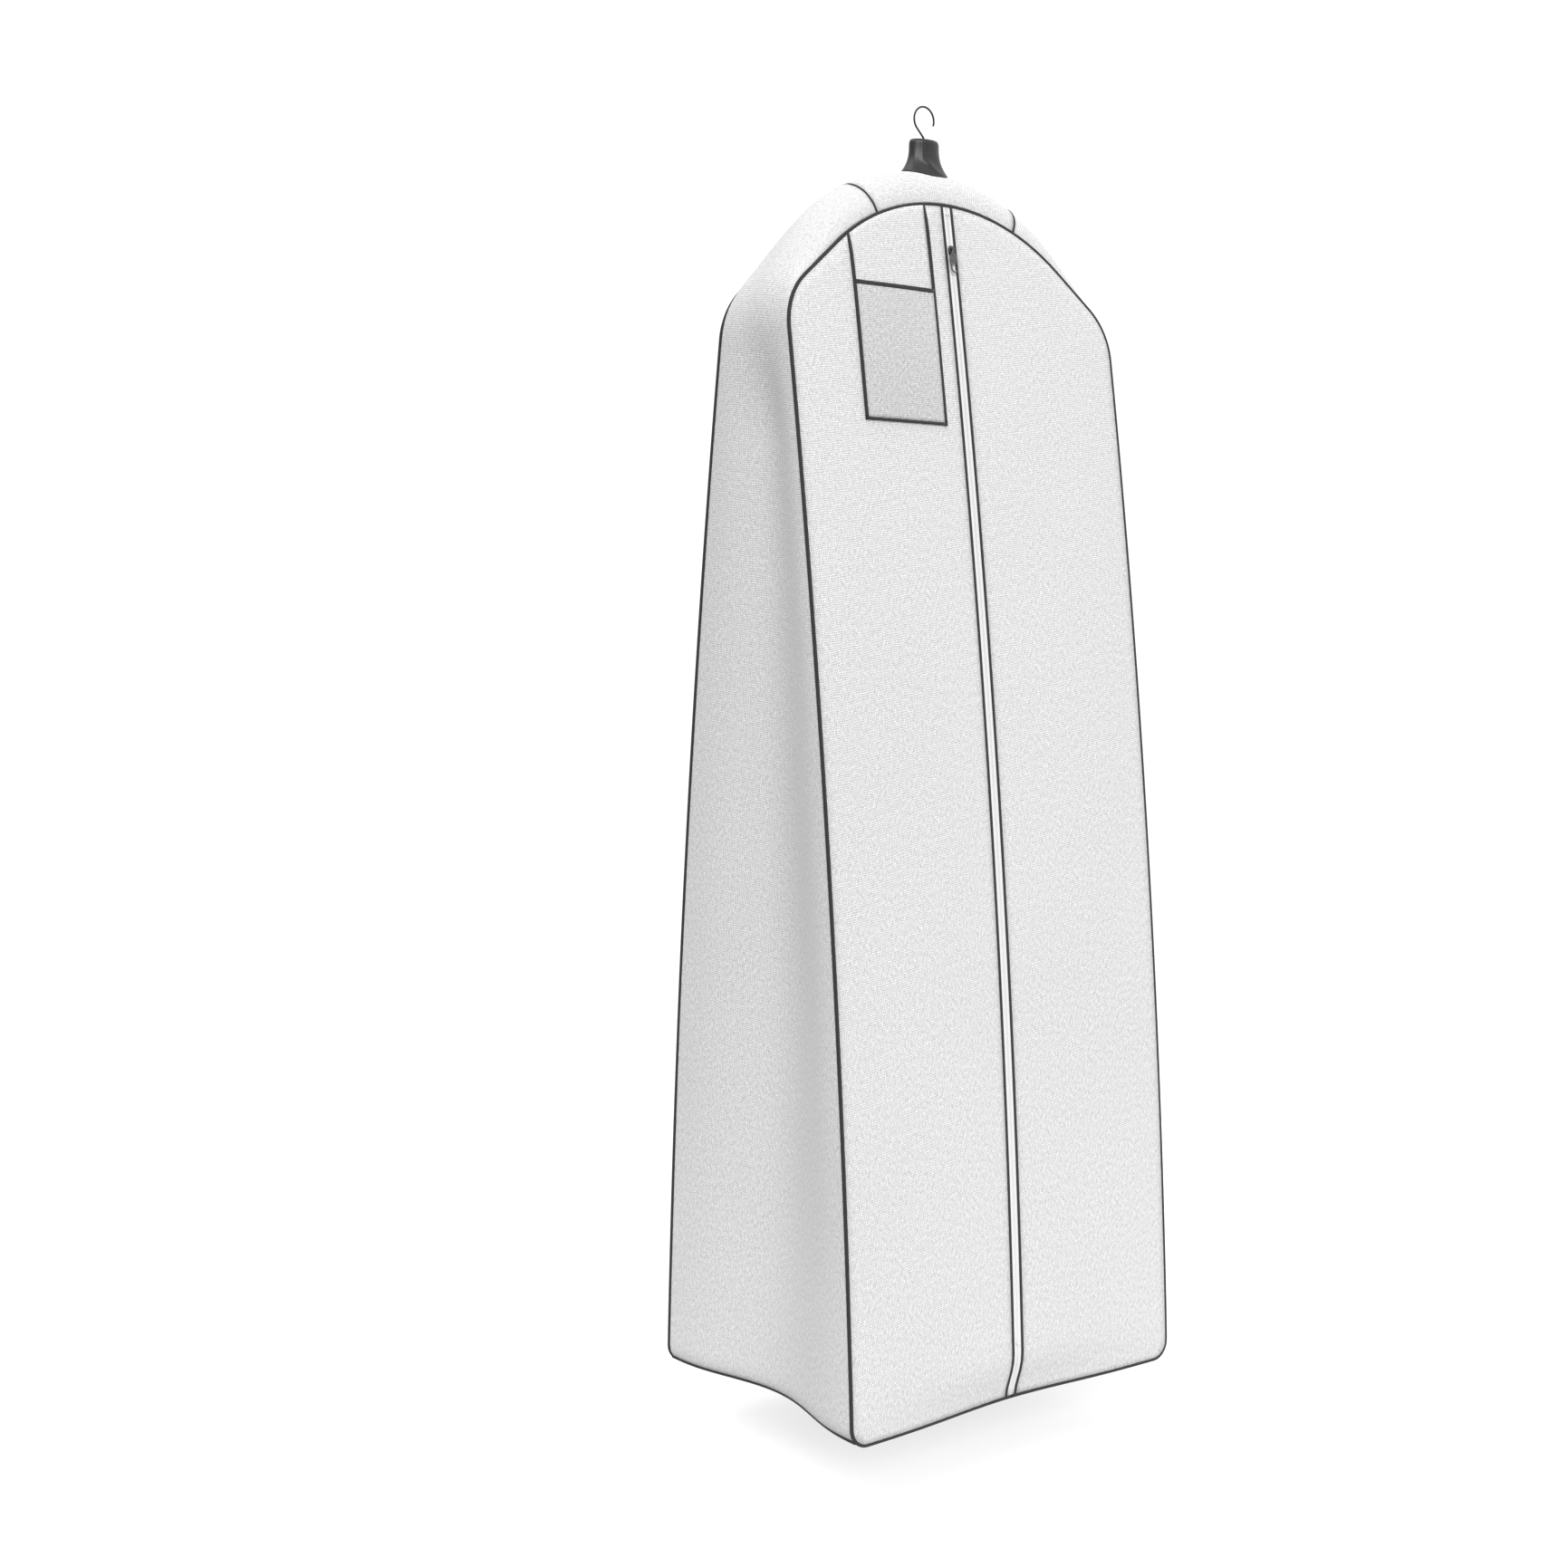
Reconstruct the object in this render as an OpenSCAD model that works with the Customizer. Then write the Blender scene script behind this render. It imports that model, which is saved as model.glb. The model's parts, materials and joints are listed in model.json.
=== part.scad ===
// Full-length gown bag with a tapered gusset, hanging from the hook of its own hanger.
// Millimetres. +Z is up, +X is to the right when facing the zip, and the front faces -Y.
// The origin is the inner crest of the hook's loop, where a rail carries the bag.

/* [Panels] */
// Width of the front and back panels
panel_w = 660; // [600:1:700]
// Height of the panels, from the top of the arch to the bottom hem
panel_h = 1829; // [1500:1:1900]
// Radius of the arch at the top of the panels
arch_r = 355; // [345:1:365]
// Slope of the shoulders, in degrees below level
shoulder_slope = 39.5; // [38:0.5:41]
// Radius of the shoulder corners
shoulder_r = 105; // [90:1:115]
// Radius of the bottom corners
hem_r = 30; // [20:1:40]
// Thickness of the bag fabric
fabric_t = 1; // [0.8:0.1:1.4]

/* [Gusset] */
// Depth of the bag at the top of the arch, from seam to seam
depth_top = 104; // [96:1:130]
// Depth of the bag at the bottom hem
depth_hem = 470; // [300:1:500]
// How far each panel bows outward between the arch and the hem
panel_bow = 28; // [10:1:40]
// Rise of the crown above the panel seams
crown_rise = 56; // [40:1:60]
// Inward sag of the side gussets at the hem
side_sag = 35; // [10:1:45]
// Distance from the middle to the seams that cross the crown
crown_seam_x = 139; // [100:1:160]

/* [Bindings] */
// Width of the piping round each panel
piping_w = 4; // [3:0.5:6]
// Depth of the piping behind the panel's face
piping_depth = 2.4; // [2:0.1:4]
// How far the piping stands proud of the panel
piping_proud = 0.7; // [0.5:0.1:1.5]
// Width of the bindings that cross the gusset
cross_binding_w = 4; // [3:0.5:6]

/* [Zip] */
// Width of the whole zip, between the outer edges of its two bindings
zip_w = 24; // [22:0.5:30]
// Width of each zip binding
zip_binding_w = 5; // [4:0.5:6]
// Distance from the top of the arch down to the slider's upper end
slider_drop = 65; // [40:1:120]
// Length of the slider
slider_l = 16; // [12:1:18]
// Width of the slider
slider_w = 11; // [9:0.5:12]
// Length of the pull tab below its pin
puller_l = 38; // [30:1:42]
// Width of the pull tab
puller_w = 14; // [12:0.5:15]

/* [Document pocket] */
// Left edge of the pocket, measured from the zip's centre line
pocket_left = 205; // [180:1:215]
// Right edge of the pocket, measured from the zip's centre line
pocket_right = 44; // [30:1:60]
// Distance from the top of the arch down to the pocket's mouth
pocket_mouth = 137; // [120:1:160]
// Distance from the top of the arch down to the pocket's bottom
pocket_bottom = 344; // [300:1:400]

/* [Collar] */
// Height of the collar above the crown
collar_h = 48.5; // [40:0.5:60]
// Half the width of the collar at its rim
collar_rim_x = 26; // [24:1:32]
// Half the depth of the collar at its rim
collar_rim_y = 16; // [16:1:22]
// Half the width of the collar's flared base
collar_base_x = 43; // [38:1:50]
// Half the depth of the collar's flared base
collar_base_y = 28; // [26:1:34]

/* [Hanger] */
// Diameter of the hook's wire
wire_d = 3; // [2.5:0.1:4]
// Radius of the hook's loop at the middle of the wire
loop_r = 20; // [18:0.5:26]
// Height of the hook above the collar's rim
hook_rise = 53.5; // [50:0.5:60]
// Thickness of the hanger's arms
hanger_t = 14; // [10:1:15]
// Height of the hanger's arms at the middle
hanger_h = 30; // [26:1:40]

/* [Hidden] */
$fn = 64;

white_cloth = "whitesmoke";
grey_mesh = "darkgray";
black_binding = "#2b2b2b";
black_vinyl = "#1c1c1e";
steel = "silver";
beech = "burlywood";

// Clearance between neighbouring skins
gap = 0.3;
// Strips that each bowed face is made of
strips = 20;
// Cells from the front seam to the back seam across a gusset
cells = 12;

// Heights of the main levels
loop_z = wire_d / 2 - loop_r;
rim_z = wire_d - hook_rise;
crown_z = rim_z - collar_h;
apex_z = crown_z - crown_rise;
hem_z = apex_z - panel_h;

// Centres of the arcs in the panel's outline
arch_c = [0, apex_z - arch_r];
slope_start = arch_c + arch_r * [sin(shoulder_slope), cos(shoulder_slope)];
shoulder_cx = panel_w / 2 - shoulder_r;
slope_run = shoulder_cx + shoulder_r * sin(shoulder_slope) - slope_start.x;
shoulder_c = [
    shoulder_cx,
    slope_start.y - slope_run * tan(shoulder_slope) - shoulder_r * cos(shoulder_slope),
];
hem_c = [panel_w / 2 - hem_r, hem_z + hem_r];
crown_seam_angle = asin(crown_seam_x / arch_r);

// The large arc that each panel follows from the arch to the hem
panel_lean = atan((depth_hem - depth_top) / 2 / panel_h);
panel_chord = norm([(depth_hem - depth_top) / 2, panel_h]);
bow_r = (panel_chord * panel_chord / 4 + panel_bow * panel_bow) / (2 * panel_bow);
bow_y = (bow_r - panel_bow) * cos(panel_lean) - (depth_top + depth_hem) / 4;
bow_z = (apex_z + hem_z) / 2 - (bow_r - panel_bow) * sin(panel_lean);

// Layers of the zip, as depths behind the panel's outer face
coil_face = -1.3;
tape_face = 0.3;
tape_back = 1;
plate_face = -3.2;
plate_back = -1.7;
lower_plate_face = 1.5;
lower_plate_back = 2.7;
coil_inner_x = 0.9;
coil_outer_x = 2.8;
wedge_w = 1.2;
// The pin that carries the pull tab
pin_r = 0.8;
pin_depth = -5.2;
pin_clearance = 0.06;
eye_w = 4.2;
slider_top_z = apex_z - slider_drop;
slider_z = slider_top_z - slider_l / 2;

// Hook and hanger fittings
loop_start = -17;
loop_end = 225;
neck_bend_r = 8;
ferrule_r = 4.5;
ferrule_top_z = crown_z - 4;
ferrule_l = 14;
stem_clearance = 0.05;
washer_t = 2.5;
washer_r = 3.4;
stem_end_z = ferrule_top_z - ferrule_l - 0.2;
hanger_bearing = 32;
hanger_clearance = 4;
hanger_tip_h = 20;

// ---- Outline and faces of the panels ----

// Points of an arc; bearings are measured from straight up towards +X
function arc(c, r, from, to, n) = [
    for (i = [0:n]) let(b = from + (to - from) * i / n) c + r * [sin(b), cos(b)]
];

function half_outline(inset) = concat(
    arc(arch_c, arch_r - inset, 0, shoulder_slope, 10),
    arc(shoulder_c, shoulder_r - inset, shoulder_slope, 90, 10),
    arc(hem_c, hem_r - inset, 90, 180, 8)
);

// The panel's outline, moved inward by inset
function outline(inset) = let(half = half_outline(inset)) concat(
    half, [for (i = [len(half) - 1:-1:1]) [-half[i].x, half[i].y]]
);

// Half the bag's depth at a height, depth behind the panel's outer face
function half_depth(z, depth = 0) = sqrt(pow(bow_r - depth, 2) - pow(z - bow_z, 2)) - bow_y;

function bowed_face(depth) = [
    for (i = [0:strips]) let(z = apex_z + 6 - (panel_h + 12) * i / strips)
        [-half_depth(z, depth), z]
];

function reversed(list) = [for (i = [len(list) - 1:-1:0]) list[i]];

// A bowed layer of the front between two depths and two sides
module layer(from, to, x0, x1)
    translate([x0, 0, 0]) rotate([90, 0, 90]) linear_extrude(x1 - x0)
        polygon(concat(bowed_face(from), reversed(bowed_face(to))));

// Everything in front of the middle plane that lies inside the outline
module inside(inset)
    rotate([90, 0, 0]) linear_extrude(depth_hem) polygon(outline(inset));

// Everything between two heights
module between(z0, z1)
    translate([-panel_w, -depth_hem, z0]) cube([2 * panel_w, 2 * depth_hem, z1 - z0]);

module panel(x0, x1)
    intersection() {
        layer(0, fabric_t, x0, x1);
        inside(piping_w);
    }

module piping()
    intersection() {
        layer(-piping_proud, piping_depth, -panel_w, panel_w);
        rotate([90, 0, 0]) linear_extrude(depth_hem) difference() {
            polygon(outline(0));
            polygon(outline(piping_w));
        }
    }

// ---- Skins that run from the front panel to the back panel ----

// A closed sheet between two grids of points; ring joins its last column to its first
module sheet(outer, inner, ring = false) {
    rows = len(outer);
    cols = len(outer[0]);
    back = rows * cols;
    last = ring ? cols - 1 : cols - 2;
    function at(r, c) = r * cols + c % cols;
    faces = [
        for (r = [0:rows - 2], c = [0:last]) each [
            [at(r, c), at(r, c + 1), at(r + 1, c + 1)],
            [at(r, c), at(r + 1, c + 1), at(r + 1, c)],
            [back + at(r, c), back + at(r + 1, c + 1), back + at(r, c + 1)],
            [back + at(r, c), back + at(r + 1, c), back + at(r + 1, c + 1)],
        ],
        for (c = [0:last]) each [
            [at(0, c), back + at(0, c), back + at(0, c + 1)],
            [at(0, c), back + at(0, c + 1), at(0, c + 1)],
            [at(rows - 1, c), back + at(rows - 1, c + 1), back + at(rows - 1, c)],
            [at(rows - 1, c), at(rows - 1, c + 1), back + at(rows - 1, c + 1)],
        ],
        if (!ring) for (r = [0:rows - 2]) each [
            [at(r, 0), back + at(r + 1, 0), back + at(r, 0)],
            [at(r, 0), at(r + 1, 0), back + at(r + 1, 0)],
            [at(r, cols - 1), back + at(r, cols - 1), back + at(r + 1, cols - 1)],
            [at(r, cols - 1), back + at(r + 1, cols - 1), at(r + 1, cols - 1)],
        ],
    ];
    polyhedron(concat([for (row = outer, p = row) p], [for (row = inner, p = row) p]), faces);
}

// How far the crown stands out past the seams at a point of the outline
function crown_out(p) = p.y > shoulder_c.y
    ? crown_rise * (1 - pow(abs(p.x) / (panel_w / 2), 3))
    : 0;

// How much the sides have sagged inward at a height, as a share of the half width
function sag_share(z) =
    side_sag / (panel_w / 2) * max(0, min(1, (shoulder_c.y - z) / (shoulder_c.y - hem_c.y)));

// A point of a gusset. A station is [centre, radius, bearing] on the outline, across runs
// from 0 at the front seam to 180 at the back seam, and in is the depth below the outline.
function skin_point(station, across, in, thin) = let(
    way = [sin(station[2]), cos(station[2])],
    seam = station[0] + station[1] * way,
    p = seam + (crown_out(seam) * sin(across) - in - thin) * way,
    share = 1 - sag_share(p.y) * pow(sin(across), 2),
    depth = half_depth(seam.y, piping_depth + gap + thin)
) [p.x * share, -cos(across) * depth, p.y];

function skin(stations, in, thin) = [
    for (s = stations) [for (j = [0:cells]) skin_point(s, 180 * j / cells, in, thin)]
];

module gusset(stations, in = 1, t = fabric_t)
    sheet(skin(stations, in, 0), skin(stations, in, t));

function arch_stations(from, to, n) = [
    for (i = [0:n]) [arch_c, arch_r, from + (to - from) * i / n]
];

function hem_stations(from, to, n) = [
    for (i = [0:n]) [hem_c, hem_r, from + (to - from) * i / n]
];

function shoulder_stations(n) = [
    for (i = [0:n]) [shoulder_c, shoulder_r, shoulder_slope + (90 - shoulder_slope) * i / n]
];

// The straight sides, without their two ends
function side_stations(n) = [
    for (i = [1:n - 1]) [
        [shoulder_c.x, shoulder_c.y + (hem_c.y - shoulder_c.y) * i / n], shoulder_r, 90,
    ]
];

// The flat bottom from right to left, without its two ends
function bottom_stations(n) = [
    for (i = [1:n - 1]) [[hem_c.x * (1 - 2 * i / n), hem_c.y], hem_r, 180]
];

// Half the angle that a cross binding takes up on an arc
function binding_angle(r) = asin((cross_binding_w / 2) / r);
function clear_angle(r) = asin((cross_binding_w / 2 + gap) / r);

// The bearing on each bottom corner where the gusset meets the bottom panel
hem_seam_angle = 135;

module side_gusset()
    gusset(concat(
        arch_stations(crown_seam_angle + clear_angle(arch_r), shoulder_slope, 4),
        shoulder_stations(8),
        side_stations(8),
        hem_stations(90, hem_seam_angle - clear_angle(hem_r), 3)
    ));

module crown_binding()
    gusset(arch_stations(
        crown_seam_angle - binding_angle(arch_r), crown_seam_angle + binding_angle(arch_r), 1
    ), 0.2, fabric_t + 1.2);

module hem_binding()
    gusset(hem_stations(
        hem_seam_angle - binding_angle(hem_r), hem_seam_angle + binding_angle(hem_r), 2
    ), 0.2, fabric_t + 1.2);

// ---- Bag ----

module gusset_left() color(white_cloth) mirror([1, 0, 0]) side_gusset();
module gusset_right() color(white_cloth) side_gusset();
module gusset_binding_left() color(black_binding) mirror([1, 0, 0]) crown_binding();
module gusset_binding_right() color(black_binding) crown_binding();
module bottom_binding_left() color(black_binding) mirror([1, 0, 0]) hem_binding();
module bottom_binding_right() color(black_binding) hem_binding();

// The crown has an oval hole below the collar
module gusset_top() {
    reach = crown_seam_angle - clear_angle(arch_r);
    color(white_cloth) difference() {
        gusset(arch_stations(-reach, reach, 12));
        translate([0, 0, crown_z - 30]) linear_extrude(60)
            polygon([for (b = [0:10:350]) [32 * sin(b), 20 * cos(b)]]);
    }
}

module bottom_panel() {
    from = hem_seam_angle + clear_angle(hem_r);
    right = hem_stations(from, 180, 4);
    color(white_cloth) gusset(concat(
        right,
        bottom_stations(6),
        [for (s = reversed(right)) [[-s[0].x, s[0].y], s[1], -s[2]]]
    ));
}

module front_panel_left() color(white_cloth) panel(-panel_w, -zip_w / 2);
module front_panel_right() color(white_cloth) panel(zip_w / 2, panel_w);
module back_panel() color(white_cloth) mirror([0, 1, 0]) panel(-panel_w, panel_w);
module piping_front() color(black_binding) piping();
module piping_back() color(black_binding) mirror([0, 1, 0]) piping();

// ---- Collar ----

// Height of the crown's outer face near the middle
function crown_top(x, y) = let(
    rise = crown_rise * sqrt(1 - pow(y / half_depth(apex_z, piping_depth + gap), 2))
) arch_c.y + sqrt(pow(arch_r - 1 + rise, 2) - x * x);

// A ring of the collar: down runs from 0 at the rim to 1 at the base, in is the depth
// below the collar's face
function collar_ring(down, in) = [
    for (b = [0:10:350]) let(
        flare = pow(down, 2.4),
        lip = pow(max(0, 1 - down * 12), 2),
        x = (collar_rim_x + (collar_base_x - collar_rim_x) * flare - lip - in) * sin(b),
        y = (collar_rim_y + (collar_base_y - collar_rim_y) * flare - lip - in) * cos(b)
    ) [x, y, rim_z + (crown_top(x, y) + 0.5 - rim_z) * down]
];

module collar() {
    steps = [0, 0.03, 0.08, 0.2, 0.35, 0.5, 0.65, 0.8, 0.9, 1];
    color(black_vinyl) sheet(
        [for (s = steps) collar_ring(s, 0)], [for (s = steps) collar_ring(s, 1.5)], ring = true
    );
}

// ---- Document pocket ----

module pocket_piece(from, to, x0, x1, top, bottom)
    intersection() {
        layer(from, to, x0, x1);
        inside(piping_w);
        between(apex_z - bottom, apex_z - top);
    }

module pocket_backing()
    color(white_cloth) pocket_piece(
        -fabric_t - 0.1, -0.1, -pocket_left + 5, -pocket_right - 5, 0, pocket_bottom - 4
    );

module pocket_window()
    color(grey_mesh) pocket_piece(
        -3.4, -2.7, -pocket_left + 5, -pocket_right - 5, pocket_mouth + 6.5, pocket_bottom - 4
    );

// The mouth's binding stands clear of the backing, so that the pocket is open at its top
module pocket_binding_top()
    color(black_binding) pocket_piece(
        -4.2, -2.1, -pocket_left + 5, -pocket_right - 5, pocket_mouth, pocket_mouth + 6.5
    );

module pocket_binding_bottom()
    color(black_binding) pocket_piece(
        -4.2, -0.1, -pocket_left, -pocket_right, pocket_bottom - 4, pocket_bottom
    );

module pocket_binding_left()
    color(black_binding) pocket_piece(
        -4.2, -0.1, -pocket_left, -pocket_left + 5, 0, pocket_bottom - 4
    );

module pocket_binding_right()
    color(black_binding) pocket_piece(
        -4.2, -0.1, -pocket_right - 5, -pocket_right, 0, pocket_bottom - 4
    );

// ---- Zip ----

// A strip of the right half of the zip
module zip_strip(from, to, x0, x1)
    intersection() {
        layer(from, to, x0, x1);
        inside(piping_w);
    }

module zip_binding() zip_strip(-0.8, 1.8, zip_w / 2 - zip_binding_w, zip_w / 2);
module zip_tape() zip_strip(tape_face, tape_back, coil_inner_x, zip_w / 2 - zip_binding_w);
module zip_coil() zip_strip(coil_face, tape_face, coil_inner_x, coil_outer_x);

module zip_binding_left() color(black_binding) mirror([1, 0, 0]) zip_binding();
module zip_binding_right() color(black_binding) zip_binding();
module zip_tape_left() color(white_cloth) mirror([1, 0, 0]) zip_tape();
module zip_tape_right() color(white_cloth) zip_tape();
module zip_coil_left() color(white_cloth) mirror([1, 0, 0]) zip_coil();
module zip_coil_right() color(white_cloth) zip_coil();

// Places things on the zip at a height; -Y then points straight out of the panel
module on_zip(z)
    translate([0, bow_y, bow_z]) rotate([-asin((z - bow_z) / bow_r), 0, 0])
        translate([0, -bow_r, 0]) children();

// One small clamp on each coil
module zip_top_stop()
    color(steel) on_zip(apex_z - 16) for (side = [-1, 1])
        translate([side * 2.2, -2, 0]) cube([2, 1.2, 4], center = true);

module zip_bottom_stop()
    color(steel) on_zip(hem_z + 90) translate([0, -2, 0]) cube([7, 1.2, 4], center = true);

// A plate with round shoulders at its upper end and a narrower lower end
module slider_plate(from, to)
    rotate([90, 0, 0]) translate([0, 0, -to]) linear_extrude(to - from) polygon(concat(
        arc([slider_w / 2 - 3, slider_l / 2 - 3], 3, 0, 90, 5),
        arc([slider_w / 2 - 3, -slider_l / 2 + 2], 2, 90, 180, 4),
        arc([-slider_w / 2 + 3, -slider_l / 2 + 2], 2, 180, 270, 4),
        arc([-slider_w / 2 + 3, slider_l / 2 - 3], 3, 270, 360, 5)
    ));

// A post that stands on the slider's face and holds one end of the pull tab's pin
module pin_post() {
    post_t = 1.1;
    translate([eye_w / 2 + 0.2, 0, 0]) {
        translate([0, pin_depth, 0]) rotate([0, 90, 0]) cylinder(r = 1.5, h = post_t);
        translate([0, pin_depth, -1.5]) cube([post_t, plate_face - pin_depth + 0.3, 3]);
    }
}

// The pin lies across the slider's face a little above its middle
pin_z = slider_l / 2 - 5;

module zip_slider()
    color(steel) on_zip(slider_z) {
        slider_plate(plate_face, plate_back);
        slider_plate(lower_plate_face, lower_plate_back);
        translate([-wedge_w / 2, plate_back - 0.2, slider_l / 2 - 5])
            cube([wedge_w, lower_plate_face - plate_back + 0.4, 4]);
        for (side = [0, 1]) mirror([side, 0, 0]) {
            translate([slider_w / 2 - 1.2, plate_back - 0.2, -slider_l / 2 + 3])
                cube([0.9, 1.4, slider_l - 7]);
            translate([0, 0, pin_z]) pin_post();
        }
        translate([-eye_w / 2 - 0.5, pin_depth, pin_z]) rotate([0, 90, 0])
            cylinder(r = pin_r, h = eye_w + 1);
    }

// A flat tab with a round end, an oval hole near that end and an eye for the pin
module pull_tab() {
    tab_t = 1.3;
    end_r = puller_w / 2;
    end_z = pin_z - puller_l + end_r;
    hole_r = 4.6;
    color(steel) on_zip(slider_z) difference() {
        union() {
            translate([-eye_w / 2, pin_depth, pin_z]) rotate([0, 90, 0])
                cylinder(r = 1.9, h = eye_w);
            translate([0, pin_depth + tab_t / 2, 0]) rotate([90, 0, 0]) linear_extrude(tab_t)
                polygon(concat(
                    [[-eye_w / 2, pin_z], [eye_w / 2, pin_z], [eye_w / 2, pin_z - 4]],
                    [[end_r, pin_z - 12]],
                    arc([0, end_z], end_r, 90, 270, 16),
                    [[-end_r, pin_z - 12], [-eye_w / 2, pin_z - 4]]
                ));
        }
        translate([-eye_w, pin_depth, pin_z]) rotate([0, 90, 0])
            cylinder(r = pin_r + pin_clearance, h = 2 * eye_w);
        translate([0, pin_depth + tab_t, 0]) rotate([90, 0, 0]) linear_extrude(2 * tab_t)
            polygon(concat(
                arc([0, end_z + 4], hole_r, -90, 90, 12), arc([0, end_z], hole_r, 90, 270, 12)
            ));
    }
}

// ---- Hook and hanger ----

module wire_arc(centre_x, centre_z, r, from, to)
    translate([centre_x, 0, centre_z]) rotate([90, 0, 0]) rotate([0, 0, from])
        rotate_extrude(angle = to - from) translate([r, 0]) circle(d = wire_d);

module hook_wire() {
    loop_foot = loop_r * [cos(loop_end), sin(loop_end)] + [0, loop_z];
    run = (-neck_bend_r * (1 - cos(45)) - loop_foot.x) / sin(45);
    bend_z = loop_foot.y - run * sin(45) - neck_bend_r * sin(45);
    color(steel) {
        wire_arc(0, loop_z, loop_r, loop_start, loop_end);
        translate([loop_r * cos(loop_start), 0, loop_z + loop_r * sin(loop_start)])
            sphere(d = wire_d);
        translate([loop_foot.x, 0, loop_foot.y]) rotate([0, 135, 0])
            cylinder(d = wire_d, h = run);
        wire_arc(-neck_bend_r, bend_z, neck_bend_r, 0, 45);
        translate([0, 0, stem_end_z]) cylinder(d = wire_d, h = bend_z - stem_end_z);
    }
}

module hook_washer()
    color(steel) translate([0, 0, stem_end_z - washer_t]) cylinder(r = washer_r, h = washer_t);

module hook_ferrule()
    color("gold") translate([0, 0, ferrule_top_z - ferrule_l]) difference() {
        cylinder(r = ferrule_r, h = ferrule_l);
        translate([0, 0, -1]) cylinder(r = wire_d / 2 + stem_clearance, h = ferrule_l + 2);
    }

// A point of the hanger's edge below the crown's middle line
function hanger_point(bearing, below) = let(
    way = [sin(bearing), cos(bearing)],
    seam = arch_c + arch_r * way
) seam + (crown_out(seam) - below) * way;

// Contoured arms just below the crown; the ferrule fills the upper part of the bore
module hanger_body() {
    turns = [-hanger_bearing:4:hanger_bearing];
    upper = [for (b = turns) hanger_point(b, hanger_clearance)];
    lower = [
        for (b = turns)
            let(h = hanger_h + (hanger_tip_h - hanger_h) * abs(b) / hanger_bearing)
                hanger_point(b, hanger_clearance + h)
    ];
    color(beech) difference() {
        translate([0, hanger_t / 2, 0]) rotate([90, 0, 0]) linear_extrude(hanger_t)
            polygon(concat(upper, reversed(lower)));
        translate([0, 0, stem_end_z - washer_t - 0.5])
            cylinder(r = ferrule_r, h = ferrule_l + washer_t + 10);
    }
}

hook_wire();
hook_washer();
hook_ferrule();
hanger_body();
collar();
gusset_top();
gusset_left();
gusset_right();
gusset_binding_left();
gusset_binding_right();
front_panel_left();
front_panel_right();
back_panel();
bottom_panel();
piping_front();
piping_back();
bottom_binding_left();
bottom_binding_right();
pocket_backing();
pocket_window();
pocket_binding_top();
pocket_binding_bottom();
pocket_binding_left();
pocket_binding_right();
zip_binding_left();
zip_binding_right();
zip_tape_left();
zip_tape_right();
zip_coil_left();
zip_coil_right();
zip_top_stop();
zip_bottom_stop();
zip_slider();
pull_tab();
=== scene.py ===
"""A full-length gown bag on its hanger: the looks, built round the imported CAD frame.

Metres. +Z is up, +X is to the right when facing the zip, the front faces -Y, and the
origin is the inner crest of the hook's loop.
"""

import json
import math

import bmesh
import bpy
import numpy as np
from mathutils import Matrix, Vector, noise
from mathutils.geometry import delaunay_2d_cdt

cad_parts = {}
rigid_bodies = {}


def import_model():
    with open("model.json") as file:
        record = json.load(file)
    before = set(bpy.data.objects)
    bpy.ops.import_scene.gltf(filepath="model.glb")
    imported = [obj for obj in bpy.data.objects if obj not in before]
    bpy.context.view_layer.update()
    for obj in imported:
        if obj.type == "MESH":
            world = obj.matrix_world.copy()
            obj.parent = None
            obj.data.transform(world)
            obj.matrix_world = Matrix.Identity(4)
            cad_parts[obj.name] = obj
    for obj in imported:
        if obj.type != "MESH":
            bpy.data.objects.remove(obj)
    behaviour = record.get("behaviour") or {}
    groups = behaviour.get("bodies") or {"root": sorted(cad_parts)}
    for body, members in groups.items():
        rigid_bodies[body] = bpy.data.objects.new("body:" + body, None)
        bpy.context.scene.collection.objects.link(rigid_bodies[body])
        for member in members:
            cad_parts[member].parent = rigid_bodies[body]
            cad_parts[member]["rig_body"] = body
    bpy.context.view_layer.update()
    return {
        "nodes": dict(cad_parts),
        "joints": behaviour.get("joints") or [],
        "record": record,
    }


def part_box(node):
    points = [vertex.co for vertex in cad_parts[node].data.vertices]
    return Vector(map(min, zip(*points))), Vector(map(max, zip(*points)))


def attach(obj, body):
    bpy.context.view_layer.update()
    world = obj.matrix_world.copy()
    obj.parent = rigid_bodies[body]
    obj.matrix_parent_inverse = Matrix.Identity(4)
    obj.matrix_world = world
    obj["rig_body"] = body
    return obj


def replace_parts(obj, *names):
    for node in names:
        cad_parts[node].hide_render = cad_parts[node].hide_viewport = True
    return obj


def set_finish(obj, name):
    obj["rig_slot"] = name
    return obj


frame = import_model()
JOINTS = {j["name"]: j for j in frame["joints"]}
SLOTS = {s["node"]: s["material_slot"] for s in frame["record"]["subparts"]}

# ---------------------------------------------------------------- sizes from the frame

PIPING_LO, PIPING_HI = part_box("piping_front")
HALF_W = PIPING_HI.x
APEX_Z = PIPING_HI.z
HEM_Z = PIPING_LO.z

# The big arc that the panels and the zip follow, about the far axis of the zip's joint
BOW_Y, BOW_Z = JOINTS["zip_travel"]["pos_m"][1:]
PANEL_LO, PANEL_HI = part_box("front_panel_left")
BOW_R = math.hypot(BOW_Y - PANEL_LO.y, BOW_Z - PANEL_LO.z)
PIPING_W = PANEL_LO.x - PIPING_LO.x
ZIP_HALF_W = -PANEL_HI.x

# Shape of the panel's outline
ARCH_R = 0.355
SHOULDER_SLOPE = math.radians(39.5)
SHOULDER_R = 0.105
HEM_R = 0.030

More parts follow.
